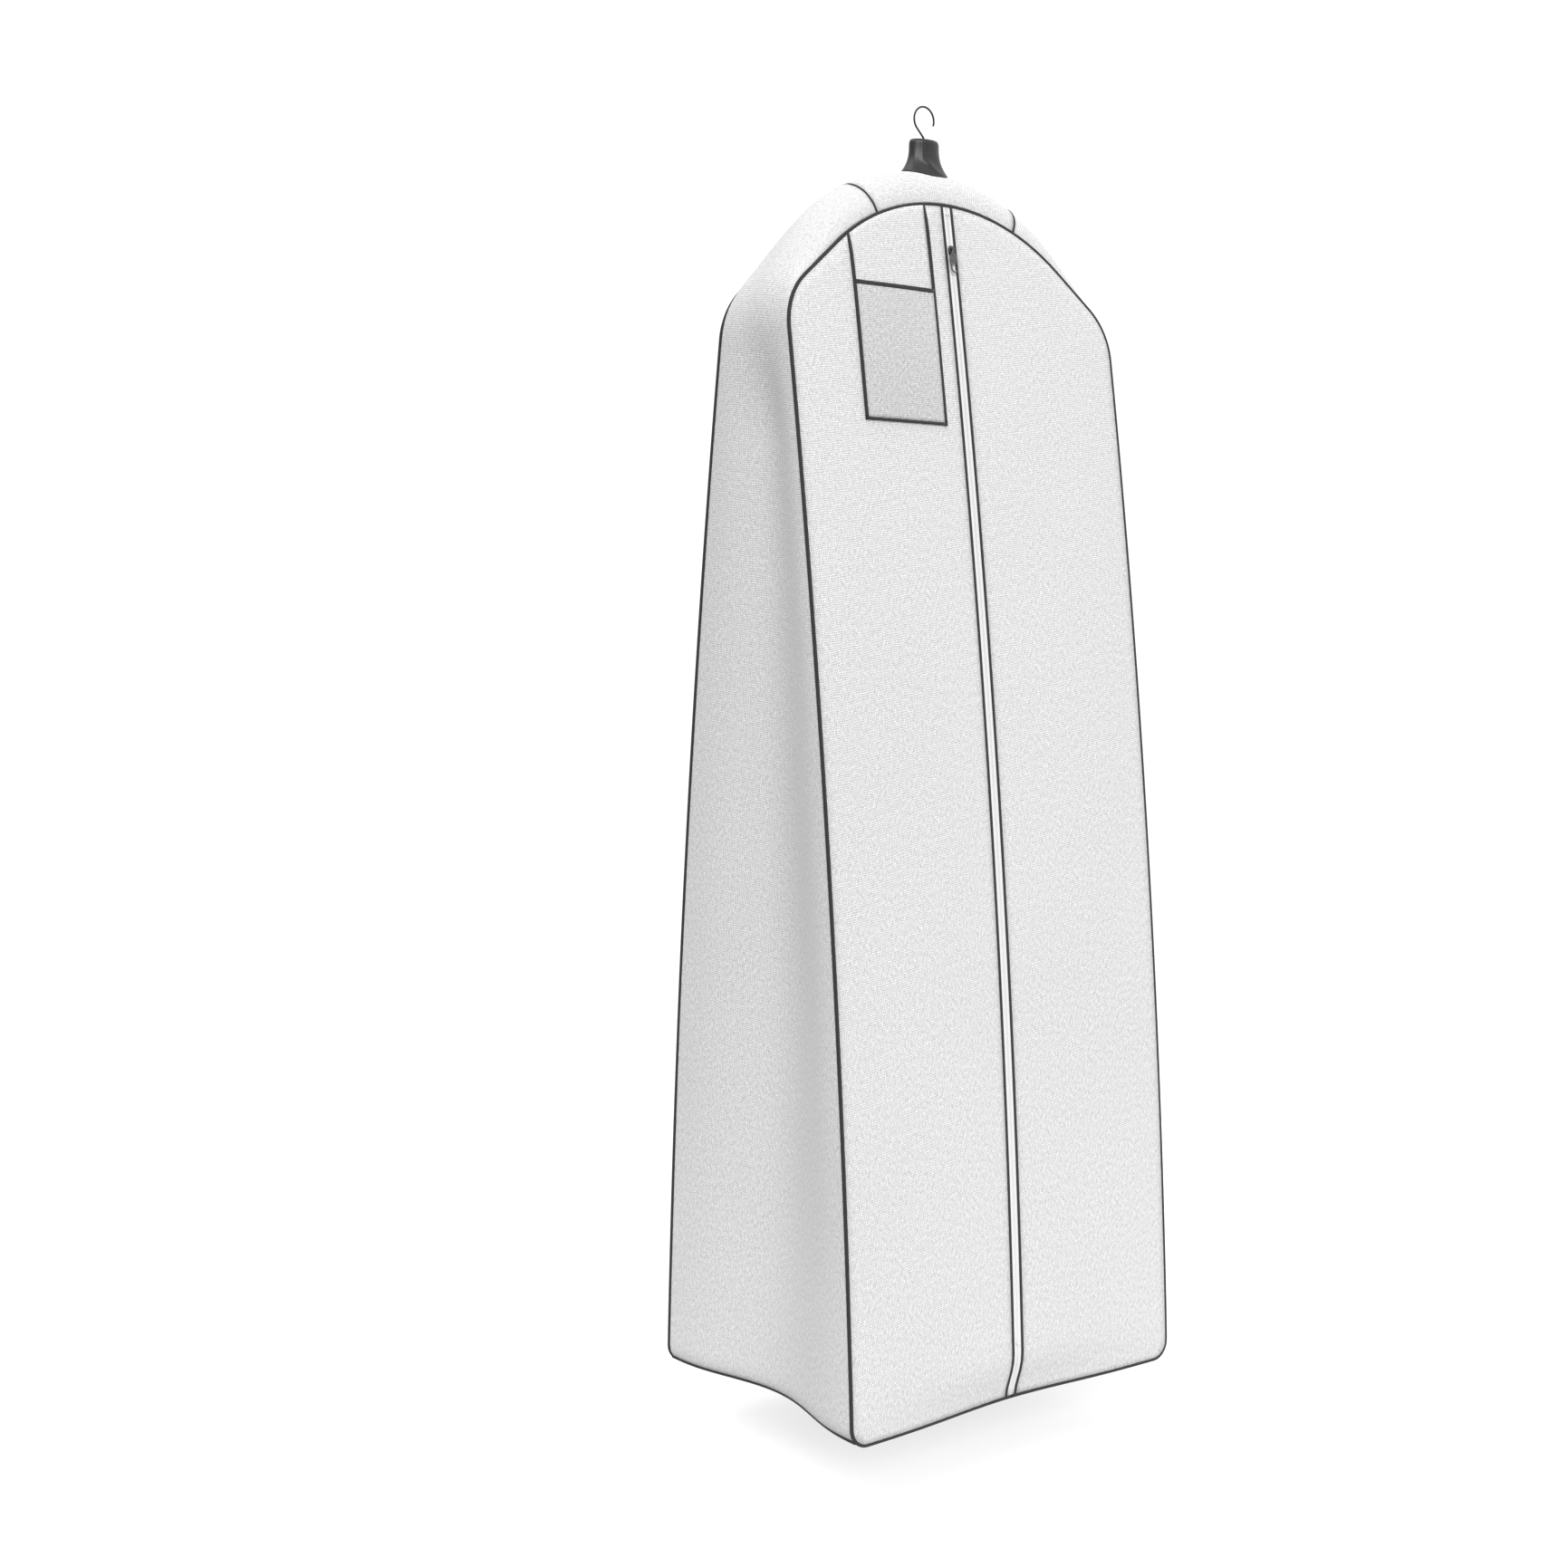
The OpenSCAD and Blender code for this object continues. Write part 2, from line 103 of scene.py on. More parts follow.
# Gusset. The sags are shares of its own depth, and a peak is where across it the sag is
# deepest, from 0 at the front seam to 1 at the back.
CROWN_RISE = 0.056
SIDE_SAG = 0.142
SIDE_SAG_PEAK = 0.44
HEM_SAG = 0.084
HEM_SAG_PEAK = 0.50
SAG_POWER = 2.9
CROWN_SEAM_X = 0.139
HEM_SEAM_BEARING = math.radians(135)

# How far the cloth of the panels stands out from the bare arc, and the distances from the
# edge and from the zip over which it comes to do so
PUFF = 0.0055
PUFF_EDGE_RUN = 0.045
PUFF_ZIP_RUN = 0.05

# Cloth, seams and edges. CLOTH_INSET is how far the gusset's cloth lies inside the outline.
CLOTH_T = 0.0009
POCKET_CLOTH_T = 0.0006
VINYL_T = 0.0012
CLOTH_INSET = 0.001
PIPING_DEPTH = 0.0024
CROSS_BINDING_W = 0.004
SEAM_GAP = 0.0003

# Zip and pocket
ZIP_BINDING_W = 0.005
ZIP_TAPE_X = ZIP_HALF_W - ZIP_BINDING_W
COIL_INNER_X, COIL_OUTER_X = -0.0003, 0.0026
COIL_PITCH = 0.0018
TOOTH_HALF_H, TOOTH_HALF_DEPTH = 0.00042, 0.00045
POCKET_BINDING_W = 0.005

MOUTH_LO, MOUTH_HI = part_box("pocket_binding_top")
POCKET_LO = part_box("pocket_binding_left")[0]
POCKET_RIGHT_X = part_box("pocket_binding_right")[1].x
FOOT_LO, FOOT_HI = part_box("pocket_binding_bottom")
COLLAR_TOP_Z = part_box("collar")[1].z
BAG_CENTRE = (0, 0, (APEX_Z + HEM_Z) / 2)

# ---------------------------------------------------------------- mesh helpers


def link(obj):
    bpy.context.scene.collection.objects.link(obj)
    return obj


def mesh_object(name, points, faces, uvs):
    """A smooth mesh whose cloth UVs are in metres."""
    mesh = bpy.data.meshes.new(name)
    mesh.from_pydata([tuple(map(float, p)) for p in points], [], [list(f) for f in faces])
    layer = mesh.uv_layers.new(name="cloth")
    corner = np.zeros(len(mesh.loops), np.int32)
    mesh.loops.foreach_get("vertex_index", corner)
    layer.data.foreach_set("uv", np.asarray(uvs, np.float32)[corner].ravel())
    mesh.polygons.foreach_set("use_smooth", np.ones(len(mesh.polygons), bool))
    mesh.update()
    return link(bpy.data.objects.new(name, mesh))


def grid_faces(rows, cols, ring=False):
    """The faces of a grid of points; a ring's last column joins its first."""
    faces = []
    for r in range(rows - 1):
        for c in range(cols if ring else cols - 1):
            d = (c + 1) % cols
            faces.append((r * cols + c, r * cols + d, (r + 1) * cols + d, (r + 1) * cols + c))
    return faces


def grid_object(name, points, uvs, ring=False):
    rows, cols = points.shape[:2]
    faces = grid_faces(rows, cols, ring)
    return mesh_object(name, points.reshape(-1, 3), faces, uvs.reshape(-1, 2))


def apply_modifiers(obj):
    bpy.context.view_layer.update()
    evaluated = obj.evaluated_get(bpy.context.evaluated_depsgraph_get())
    mesh = bpy.data.meshes.new_from_object(evaluated)
    obj.modifiers.clear()
    obj.data = mesh


def thicken(obj, thickness):
    """Gives a sheet its thickness, on the side that looks into the bag."""
    solid = obj.modifiers.new("thickness", "SOLIDIFY")
    solid.thickness = thickness
    solid.offset = -1
    solid.use_even_offset = True
    apply_modifiers(obj)


def face_outward(obj, away_from):
    """Turns an open sheet over if its faces look towards a point inside the bag."""
    total = sum(
        f.area * f.normal.dot(f.center - Vector(away_from)) for f in obj.data.polygons
    )
    if total < 0:
        obj.data.flip_normals()


def superellipse(half_w, low, high, power):
    """A closed profile with rounded corners, half_w to each side and from low to high. The
    lower the power, the squarer it is."""
    corners = 14
    turn = np.arange(corners) * 2 * math.pi / corners
    c, s = np.cos(turn), np.sin(turn)
    side = half_w * np.sign(c) * np.abs(c) ** power
    up = (high + low) / 2 + (high - low) / 2 * np.sign(s) * np.abs(s) ** power
    return np.stack([side, up], 1)


def sweep(name, path, ups, profile, closed=False):
    """A strip of one profile along a path. ups are the directions that the profile's second
    number counts along. U runs round the profile and V along the path, in metres."""
    path, ups = np.asarray(path, float), np.asarray(ups, float)
    if closed:
        ahead = np.roll(path, -1, 0) - np.roll(path, 1, 0)
    else:
        ahead = np.gradient(path, axis=0)
    ahead /= np.linalg.norm(ahead, axis=1, keepdims=True)
    ups = ups - ahead * (ups * ahead).sum(1, keepdims=True)
    ups /= np.linalg.norm(ups, axis=1, keepdims=True)
    sides = np.cross(ahead, ups)
    points = (
        path[:, None] + sides[:, None] * profile[None, :, :1] + ups[:, None] * profile[None, :, 1:]
    )
    n, k = len(path), len(profile)
    run = np.concatenate([[0], np.cumsum(np.linalg.norm(np.diff(path, axis=0), axis=1))])
    uvs = np.stack(
        [np.broadcast_to(profile[:, 0], (n, k)), np.broadcast_to(run[:, None], (n, k))], 2
    )
    faces = grid_faces(n, k, ring=True)
    if closed:
        last = (n - 1) * k
        faces += [(last + c, last + (c + 1) % k, (c + 1) % k, c) for c in range(k)]
    else:
        faces += [tuple(range(k - 1, -1, -1)), tuple(range((n - 1) * k, n * k))]
    obj = mesh_object(name, points.reshape(-1, 3), faces, uvs.reshape(-1, 2))
    return face_solid_outward(obj)


def face_solid_outward(obj):
    """Turns the faces of closed solids outwards."""
    made = bmesh.new()
    made.from_mesh(obj.data)
    bmesh.ops.recalc_face_normals(made, faces=made.faces)
    made.to_mesh(obj.data)
    made.free()
    return obj


def smooth_step(t):
    t = np.clip(t, 0, 1)
    return t * t * (3 - 2 * t)


def soft_noise(x, y, scale_x, scale_y, seed):
    """Slow waves from -1 to 1 over a sheet, always the same for one seed."""
    out = np.zeros(np.shape(x))
    flat = out.ravel()
    for i, (a, b) in enumerate(zip(np.ravel(x), np.ravel(y))):
        flat[i] = noise.noise(Vector((a / scale_x, b / scale_y, seed * 7.31)))
    return flat.reshape(np.shape(x))


# ---------------------------------------------------------------- the bag's shape

ARCH_C = np.array([0, APEX_Z - ARCH_R])
SLOPE_START = ARCH_C + ARCH_R * np.array([math.sin(SHOULDER_SLOPE), math.cos(SHOULDER_SLOPE)])
SHOULDER_X = HALF_W - SHOULDER_R
SLOPE_RUN = SHOULDER_X + SHOULDER_R * math.sin(SHOULDER_SLOPE) - SLOPE_START[0]
SHOULDER_C = np.array([
    SHOULDER_X,
    SLOPE_START[1] - SLOPE_RUN * math.tan(SHOULDER_SLOPE)
    - SHOULDER_R * math.cos(SHOULDER_SLOPE),
])
HEM_C = np.array([HALF_W - HEM_R, HEM_Z + HEM_R])


def outline_table():
    """The right half of a panel's outline from the top of the arch to the middle of the
    hem, in small steps: run length, x, z and the bearing of the way out of the panel."""
    step = 0.001
    parts = []

    def arc(centre, radius, start, end):
        b = np.linspace(start, end, max(3, int(radius * (end - start) / step)))
        parts.append(np.stack([
            centre[0] + radius * np.sin(b), centre[1] + radius * np.cos(b), b
        ], 1))

    def line(end, bearing):
        start = parts[-1][-1, :2]
        n = max(3, int(np.linalg.norm(np.subtract(end, start)) / step))
        t = np.linspace(0, 1, n)[1:-1, None]
        xz = start + (np.array(end) - start) * t
        parts.append(np.hstack([xz, np.full((len(xz), 1), bearing)]))

    arc(ARCH_C, ARCH_R, 0, SHOULDER_SLOPE)
    slope_end = SHOULDER_C + SHOULDER_R * np.array(
        [math.sin(SHOULDER_SLOPE), math.cos(SHOULDER_SLOPE)]
    )
    line(slope_end, SHOULDER_SLOPE)
    arc(SHOULDER_C, SHOULDER_R, SHOULDER_SLOPE, math.pi / 2)
    line((HALF_W, HEM_C[1]), math.pi / 2)
    arc(HEM_C, HEM_R, math.pi / 2, math.pi)
    line((0, HEM_Z), math.pi)
    table = np.vstack(parts + [[0, HEM_Z, math.pi]])
    steps = np.linalg.norm(np.diff(table[:, :2], axis=0), axis=1)
    run = np.concatenate([[0], np.cumsum(steps)])
    return np.hstack([run[:, None], table])


OUTLINE = outline_table()
OUTLINE_L = OUTLINE[-1, 0]


def run_at_bearing(bearing):
    """The run length at which the outline first faces a bearing."""
    return OUTLINE[np.searchsorted(OUTLINE[:, 3], bearing), 0]


def edge_at(run, inset=0.0):
    """x, z and bearing of the outline at run lengths; a negative run is on the left."""
    run = np.asarray(run, float)
    side = np.where(run < 0, -1.0, 1.0)
    x = np.interp(np.abs(run), OUTLINE[:, 0], OUTLINE[:, 1])
    z = np.interp(np.abs(run), OUTLINE[:, 0], OUTLINE[:, 2])
    b = np.interp(np.abs(run), OUTLINE[:, 0], OUTLINE[:, 3])
    return side * (x - inset * np.sin(b)), z - inset * np.cos(b), side * b


def arch_top(x):
    """The height of the piping's inner edge over the arch."""
    return APEX_Z - ARCH_R + math.sqrt((ARCH_R - PIPING_W) ** 2 - x * x)


def half_depth(z, inset=0.0):
    """Half the bag's depth at heights z, by the big arc."""
    return np.sqrt((BOW_R - inset) ** 2 - (z - BOW_Z) ** 2) - BOW_Y


def hem_pull(x, z):
    """The middle of the front hem is drawn in a little, below the end of the zip's run."""
    height, amount, spread = 0.080, 0.019, 0.17
    rise = smooth_step((HEM_Z + height - z) / height) ** 1.3
    return amount * rise * np.exp(-((x / spread) ** 2))


def front_y(x, z, inset=0.0):
    return -half_depth(z, inset) + hem_pull(x, z)


def out_of_front(z):
    """The way straight out of the front panel at heights z."""
    z = np.asarray(z, float)
    way = np.stack([np.zeros_like(z), -(half_depth(z) + BOW_Y), z - BOW_Z], -1)
    return way / np.linalg.norm(way, axis=-1, keepdims=True)


def distance_to_outline(x, z):
    """How far points inside a panel are from its outline."""
    edge = OUTLINE[::6, 1:3]
    p = np.stack([np.abs(x), z], -1).reshape(-1, 1, 2)
    return np.sqrt(((p - edge[None]) ** 2).sum(-1)).min(1).reshape(np.shape(x))


# ---------------------------------------------------------------- cloth pieces


def panel_plan(x0, x1, spacing):
    """Points and triangles of a panel's flat plan between two sides, inside the piping."""
    runs = np.concatenate([
        np.arange(0, OUTLINE_L, spacing * 0.6), [run_at_bearing(math.pi / 2), OUTLINE_L]
    ])
    runs = np.sort(runs)
    runs = runs[np.concatenate([[True], np.diff(runs) > spacing * 0.15])]
    x, z, _ = edge_at(runs, PIPING_W)
    right = np.stack([x, z], 1)
    loop = np.vstack([right, right[::-1][1:-1] * [-1, 1]])
    if x0 > -HALF_W or x1 < HALF_W:
        cut = x0 if x0 > -HALF_W else x1
        keep = loop[:, 0] > cut if x0 > -HALF_W else loop[:, 0] < cut
        first = np.flatnonzero(keep & ~np.roll(keep, 1))[0]
        loop = np.roll(loop, -first, 0)[: keep.sum()]
        top, bottom = arch_top(cut), HEM_Z + PIPING_W
        starts_low = abs(loop[0, 1] - bottom) < abs(loop[0, 1] - top)
        first_z, last_z = (top, bottom) if starts_low else (bottom, top)
        n = int((top - bottom) / spacing)
        straight = np.stack([np.full(n + 1, cut), np.linspace(first_z, last_z, n + 1)], 1)
        loop = np.vstack([loop, straight])
    inner = []
    rows = int((APEX_Z - HEM_Z) / spacing)
    for r in range(1, rows):
        z_row = HEM_Z + (APEX_Z - HEM_Z) * r / rows
        shift = spacing / 2 * (r % 2)
        for c in np.arange(x0 + spacing * 0.7 + shift, x1 - spacing * 0.5, spacing):
            inner.append((c, z_row))
    inner = np.array(inner)
    away = distance_to_outline(inner[:, 0], inner[:, 1])
    lowest, widest = loop.min(0), loop.max(0)
    inside = (inner > lowest).all(1) & (inner < widest).all(1) & (away > PIPING_W + spacing * 0.55)
    # points well outside the outline are also far from it, so the shape itself is asked
    side, up = np.abs(inner[:, 0]), inner[:, 1]
    arch = ARCH_C[1] + np.sqrt(np.maximum(ARCH_R**2 - side**2, 0))
    slope = SLOPE_START[1] - (side - SLOPE_START[0]) * math.tan(SHOULDER_SLOPE)
    under = up < np.where(side < SLOPE_START[0], arch, slope)
    corner = (side > SHOULDER_C[0]) & (up > SHOULDER_C[1])
    reach = np.hypot(side - SHOULDER_C[0], up - SHOULDER_C[1])
    inside &= under & ~(corner & (reach > SHOULDER_R))
    inner = inner[inside]
    points = [Vector(p) for p in np.vstack([loop, inner])]
    made = delaunay_2d_cdt(points, [], [list(range(len(loop)))], 1, 1e-7)
    return np.array([tuple(p) for p in made[0]]), [tuple(f) for f in made[2]]


def panel_puff(x, z, seed, zipped):
    """How far a panel's cloth stands out from the bare arc."""
    away = distance_to_outline(x, z)
    fade = 1 - np.exp(-away / PUFF_EDGE_RUN)
    if zipped:
        fade = fade * (1 - np.exp(-np.maximum(np.abs(x) - ZIP_HALF_W, 0) / PUFF_ZIP_RUN))
    long_waves = 0.6 * soft_noise(x, z, 0.21, 0.62, seed)
    short_waves = 0.25 * soft_noise(x, z, 0.08, 0.23, seed + 1)
    return PUFF * fade * (1 + 0.9 * (long_waves + short_waves))


def panel(name, x0, x1, seed, back=False):
    """A front half or the whole back, between two sides."""
    plan, faces = panel_plan(x0, x1, spacing=0.013)
    x, z = plan[:, 0], plan[:, 1]
    puff = panel_puff(x, z, seed, zipped=not back)
    if back:
        y = half_depth(z) + puff
    else:
        y = front_y(x, z) - puff
    obj = mesh_object(name, np.stack([x, y, z], 1), faces, plan)
    face_outward(obj, BAG_CENTRE)
    thicken(obj, CLOTH_T)
    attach(obj, "bag")
    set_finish(obj, "cloth")
    return obj


def crown_out(x, z):
    """How far the crown stands out beyond its seams, which ends at the shoulders."""
    rise = CROWN_RISE * (1 - (np.abs(x) / HALF_W) ** 3)
    return np.where(z > SHOULDER_C[1], rise, 0.0)


def side_sag(z, w):
    """How far a side gusset has sunk in, which starts at the shoulder and changes over the
    lowest 0.7 m. w runs from 0 at the front seam to 1 at the back."""
    w = np.clip(w, 0, 1)
    start = smooth_step((SHOULDER_C[1] + 0.05 - z) / 0.20)
    low = smooth_step((HEM_Z + 0.7 - z) / 0.7)
    peak = SIDE_SAG_PEAK + (HEM_SAG_PEAK - SIDE_SAG_PEAK) * low
    rear_power = SAG_POWER * (1 - peak) / peak
    belly = (w / peak) ** SAG_POWER * ((1 - w) / (1 - peak)) ** rear_power
    share = SIDE_SAG + (HEM_SAG - SIDE_SAG) * low
    return share * 2 * half_depth(np.minimum(z, APEX_Z)) * start * belly


def gusset_points(runs, across, inset=CLOTH_INSET, waves=0.0, seed=0):
    """Points of the gusset. across runs from 0 at the front seam to pi at the back seam."""
    x, z, b = (v[:, None] for v in edge_at(runs))
    a = across[None, :]
    w = (1 - np.cos(a)) / 2
    out = crown_out(x, z) * np.sin(a) - inset
    if waves:
        run, spread = np.broadcast_arrays(np.asarray(runs)[:, None], w)
        out = out + waves * np.sin(a) ** 0.8 * soft_noise(spread * 0.4, run, 0.13, 0.30, seed)
    px = x + out * np.sin(b)
    pz = z + out * np.cos(b)
    px = px * (1 - side_sag(z, w) / HALF_W)
    inner = PIPING_DEPTH + SEAM_GAP
    front = front_y(x, z, inner)
    rear = half_depth(z, inner)
    py = front + (rear - front) * w
    return np.stack(np.broadcast_arrays(px, py, pz), -1)


def gusset(name, start, end, seed, waves=0.0022, hole=None):
    """A cut of the gusset between two run lengths along the outline."""
    spacing, cols = 0.011, 44
    runs = np.linspace(start, end, max(12, int(abs(end - start) / spacing)))
    across = np.linspace(0, math.pi, cols)
    points = gusset_points(runs, across, waves=waves, seed=seed)
    step = np.linalg.norm(np.diff(points, axis=1), axis=2)
    u = np.concatenate([np.zeros((len(runs), 1)), np.cumsum(step, 1)], 1)
    uvs = np.stack([u - u[:, -1:] / 2, np.broadcast_to(runs[:, None], u.shape)], 2)
    obj = grid_object(name, points, uvs)
    if hole:
        cut_oval(obj, *hole)
    face_outward(obj, BAG_CENTRE)
    thicken(obj, CLOTH_T)
    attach(obj, "bag")
    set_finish(obj, "cloth")
    return obj


def cut_oval(obj, half_x, half_y):
    """Cuts the collar's oval hole out of the crown, seen from above."""
    made = bmesh.new()
    made.from_mesh(obj.data)
    inside = []
    for face in made.faces:
        x, y, z = face.calc_center_median()
        if (x / half_x) ** 2 + (y / half_y) ** 2 < 1 and z > APEX_Z:
            inside.append(face)
    bmesh.ops.delete(made, geom=inside, context="FACES")
    made.to_mesh(obj.data)
    made.free()


def bottom_panel():
    """The panel under the bag, from one hem binding to the other, with slow waves."""
    seam = run_at_bearing(HEM_SEAM_BEARING) + CROSS_BINDING_W / 2 + SEAM_GAP
    flat_start = run_at_bearing(math.pi - 0.001)
    corner = np.linspace(seam, flat_start, 6)
    flat = np.linspace(flat_start, OUTLINE_L, 26)[1:]
    across = np.linspace(0, math.pi, 36)
    half = gusset_points(np.concatenate([corner, flat]), across)
    whole = np.concatenate([half, half[::-1][1:] * [-1, 1, 1]])
    x, y = whole[..., 0], whole[..., 1]
    sunk = 0.0016 * (1 - (x / HALF_W) ** 2) * np.sin(across)
    waves = 0.0012 * np.sin(across) * (1 + soft_noise(x, y, 0.17, 0.13, 31))
    whole[..., 2] = np.maximum(whole[..., 2] - sunk, HEM_Z) + waves
    obj = grid_object("bottom_cloth", whole, np.stack([x, y], 2))
    face_outward(obj, BAG_CENTRE)
    thicken(obj, CLOTH_T)
    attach(obj, "bag")
    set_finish(obj, "cloth")
    return obj


# ---------------------------------------------------------------- bindings and piping


def piping(name, back):
    """The bound edge all round one panel. It's folded further over the seam at the back."""
    overhang, high, low = 0.0006, 0.0011, -0.0054 if back else -0.0036
    profile = superellipse(PIPING_W / 2 + overhang, low, high, 0.5)
    side_start, hem_start = run_at_bearing(math.pi / 2), OUTLINE_L - HALF_W
    runs = np.concatenate([
        np.arange(0, side_start, 0.006),
        np.arange(side_start + 0.004, hem_start + HEM_R, 0.012),
        np.arange(hem_start - HEM_R * 0.6, OUTLINE_L, 0.006),
    ])
    runs = np.unique(np.round(runs, 5))
    runs = runs[np.concatenate([[True], np.diff(runs) > 0.002])]
    x, z, _ = edge_at(runs, PIPING_W / 2)
    x = np.concatenate([x, -x[::-1][:-1]])
    z = np.concatenate([z, z[::-1][:-1]])
    y = half_depth(z) if back else front_y(x, z)
    ups = out_of_front(z) * ([1, -1, 1] if back else [1, 1, 1])
    obj = sweep(name, np.stack([x, y, z], 1), ups, profile, closed=True)
    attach(obj, "bag")
    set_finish(obj, "binding")
    return obj


def cross_binding(name, run, side, profile):
    """A bound seam that crosses the gusset from panel to panel."""
    runs = np.array([run * side])
    across = np.linspace(0, math.pi, 60)
    line = gusset_points(runs, across, inset=CLOTH_INSET - 0.0002)[0]
    bearing = edge_at(runs)[2][0]
    out = np.array([math.sin(bearing), 0, math.cos(bearing)])
    along = np.array([math.cos(bearing), 0, -math.sin(bearing)])
    ahead = np.gradient(line, axis=0)
    ahead /= np.linalg.norm(ahead, axis=1, keepdims=True)
    ups = np.cross(np.broadcast_to(along, ahead.shape), ahead)
    ups *= np.sign((ups @ out).sum())
    obj = sweep(name, line, ups, profile)
    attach(obj, "bag")
    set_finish(obj, "binding")
    return obj


def strip_plan(start, end, step):
    """Points at about one step apart on the straight line between two plan points."""
    start, end = np.array(start), np.array(end)
    count = max(4, int(np.linalg.norm(end - start) / step))
    return start + (end - start) * np.linspace(0, 1, count)[:, None]


def strip_on_front(
    name, start, end, width, low, high, slot, lift=0.0, step=0.014, power=0.5
):
    """A straight strip laid on the front from one plan point to another. low and high are
    its under and upper face, counted from the bare arc or from its lift."""
    plan = strip_plan(start, end, step)
    x, z = plan[:, 0], plan[:, 1]
    ups = out_of_front(z)
    path = np.stack([x, front_y(x, z), z], 1) + ups * np.broadcast_to(lift, x.shape)[:, None]
    obj = sweep(name, path, ups, superellipse(width / 2, low, high, power))
    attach(obj, "bag")
    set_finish(obj, slot)
    return obj


# ---------------------------------------------------------------- zip


def coil(name, side):
    """One row of coil teeth: rounded pegs that reach between those of the other row."""
    top, bottom = arch_top(0) - 0.001, HEM_Z + PIPING_W + 0.001
    heights = np.arange(bottom, top, COIL_PITCH) + (COIL_PITCH / 2 if side > 0 else 0)
    heights = heights[heights < top]
    ways = out_of_front(heights)
    downs = np.cross([1.0, 0, 0], ways)
    sides = 6
    turn = np.arange(sides) * 2 * math.pi / sides
    # each ring's place along the peg and its share of the full thickness
    stations = [(0.0, 0.3), (0.12, 0.9), (0.5, 1.0), (0.88, 0.9), (1.0, 0.3)]
    points, faces, uvs = [], [], []
    for z, way, down in zip(heights, ways, downs):
        middle = np.array([0, front_y(0.0, z), z]) - way * 0.0001
        first = len(points)
        for share, size in stations:
            x = side * (COIL_INNER_X + (COIL_OUTER_X - COIL_INNER_X) * share)
            for t in turn:
                slant = 0.0003 * (share - 0.5)
                p = middle + down * (TOOTH_HALF_H * size * math.cos(t) + slant)
                p = p + way * (TOOTH_HALF_DEPTH * size * math.sin(t))
                points.append((x, p[1], p[2]))
                uvs.append((x, z))
        for ring in range(len(stations) - 1):
            for k in range(sides):
                m = (k + 1) % sides
                a, b = first + ring * sides, first + (ring + 1) * sides
                faces.append((a + k, a + m, b + m, b + k))
        last = first + (len(stations) - 1) * sides
        faces.append(tuple(range(first + sides - 1, first - 1, -1)))
        faces.append(tuple(range(last, last + sides)))
    obj = face_solid_outward(mesh_object(name, points, faces, uvs))
    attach(obj, "bag")
    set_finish(obj, "zip_coil")
    return obj


# ---------------------------------------------------------------- pocket


def pocket_sheet(name, top_of, bottom, lift, belly, slot, seed):
    """A piece of the pocket laid over the front. lift is its height above the panel, and
    belly is how far its middle swells, each for a share of the way down."""
    x0, x1 = POCKET_LO.x + POCKET_BINDING_W * 0.9, POCKET_RIGHT_X - POCKET_BINDING_W * 0.9
    cols, rows = 22, 40
    xs = np.linspace(x0, x1, cols)
    tops = np.array([top_of(x) for x in xs])
    t = np.linspace(0, 1, rows)[:, None]
    z = tops[None, :] + (bottom - tops[None, :]) * t
    x = np.broadcast_to(xs, z.shape)
    across = (x - x0) / (x1 - x0)
    swell = np.sin(math.pi * np.clip(across, 0, 1)) ** 0.7 * belly(t)
    swell = swell * (1 + 0.35 * soft_noise(x, z, 0.05, 0.09, seed))
    height = lift(t) + swell + panel_puff(x, z, 1, zipped=True)
    points = np.stack([x, front_y(x, z), z], 2) + out_of_front(z) * height[..., None]
    obj = grid_object(name, points, np.stack([x, z], 2))
    face_outward(obj, BAG_CENTRE)
    thicken(obj, POCKET_CLOTH_T)
    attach(obj, "bag")
    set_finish(obj, slot)
    return obj


# ---------------------------------------------------------------- collar


def crown_top(x, y):
    """The height of the crown's face near the middle."""
    depth = half_depth(APEX_Z, PIPING_DEPTH + SEAM_GAP)
    rise = CROWN_RISE * np.sqrt(1 - np.minimum((y / depth) ** 2, 0.999))
    return ARCH_C[1] + np.sqrt((ARCH_R - CLOTH_INSET + rise) ** 2 - x * x)


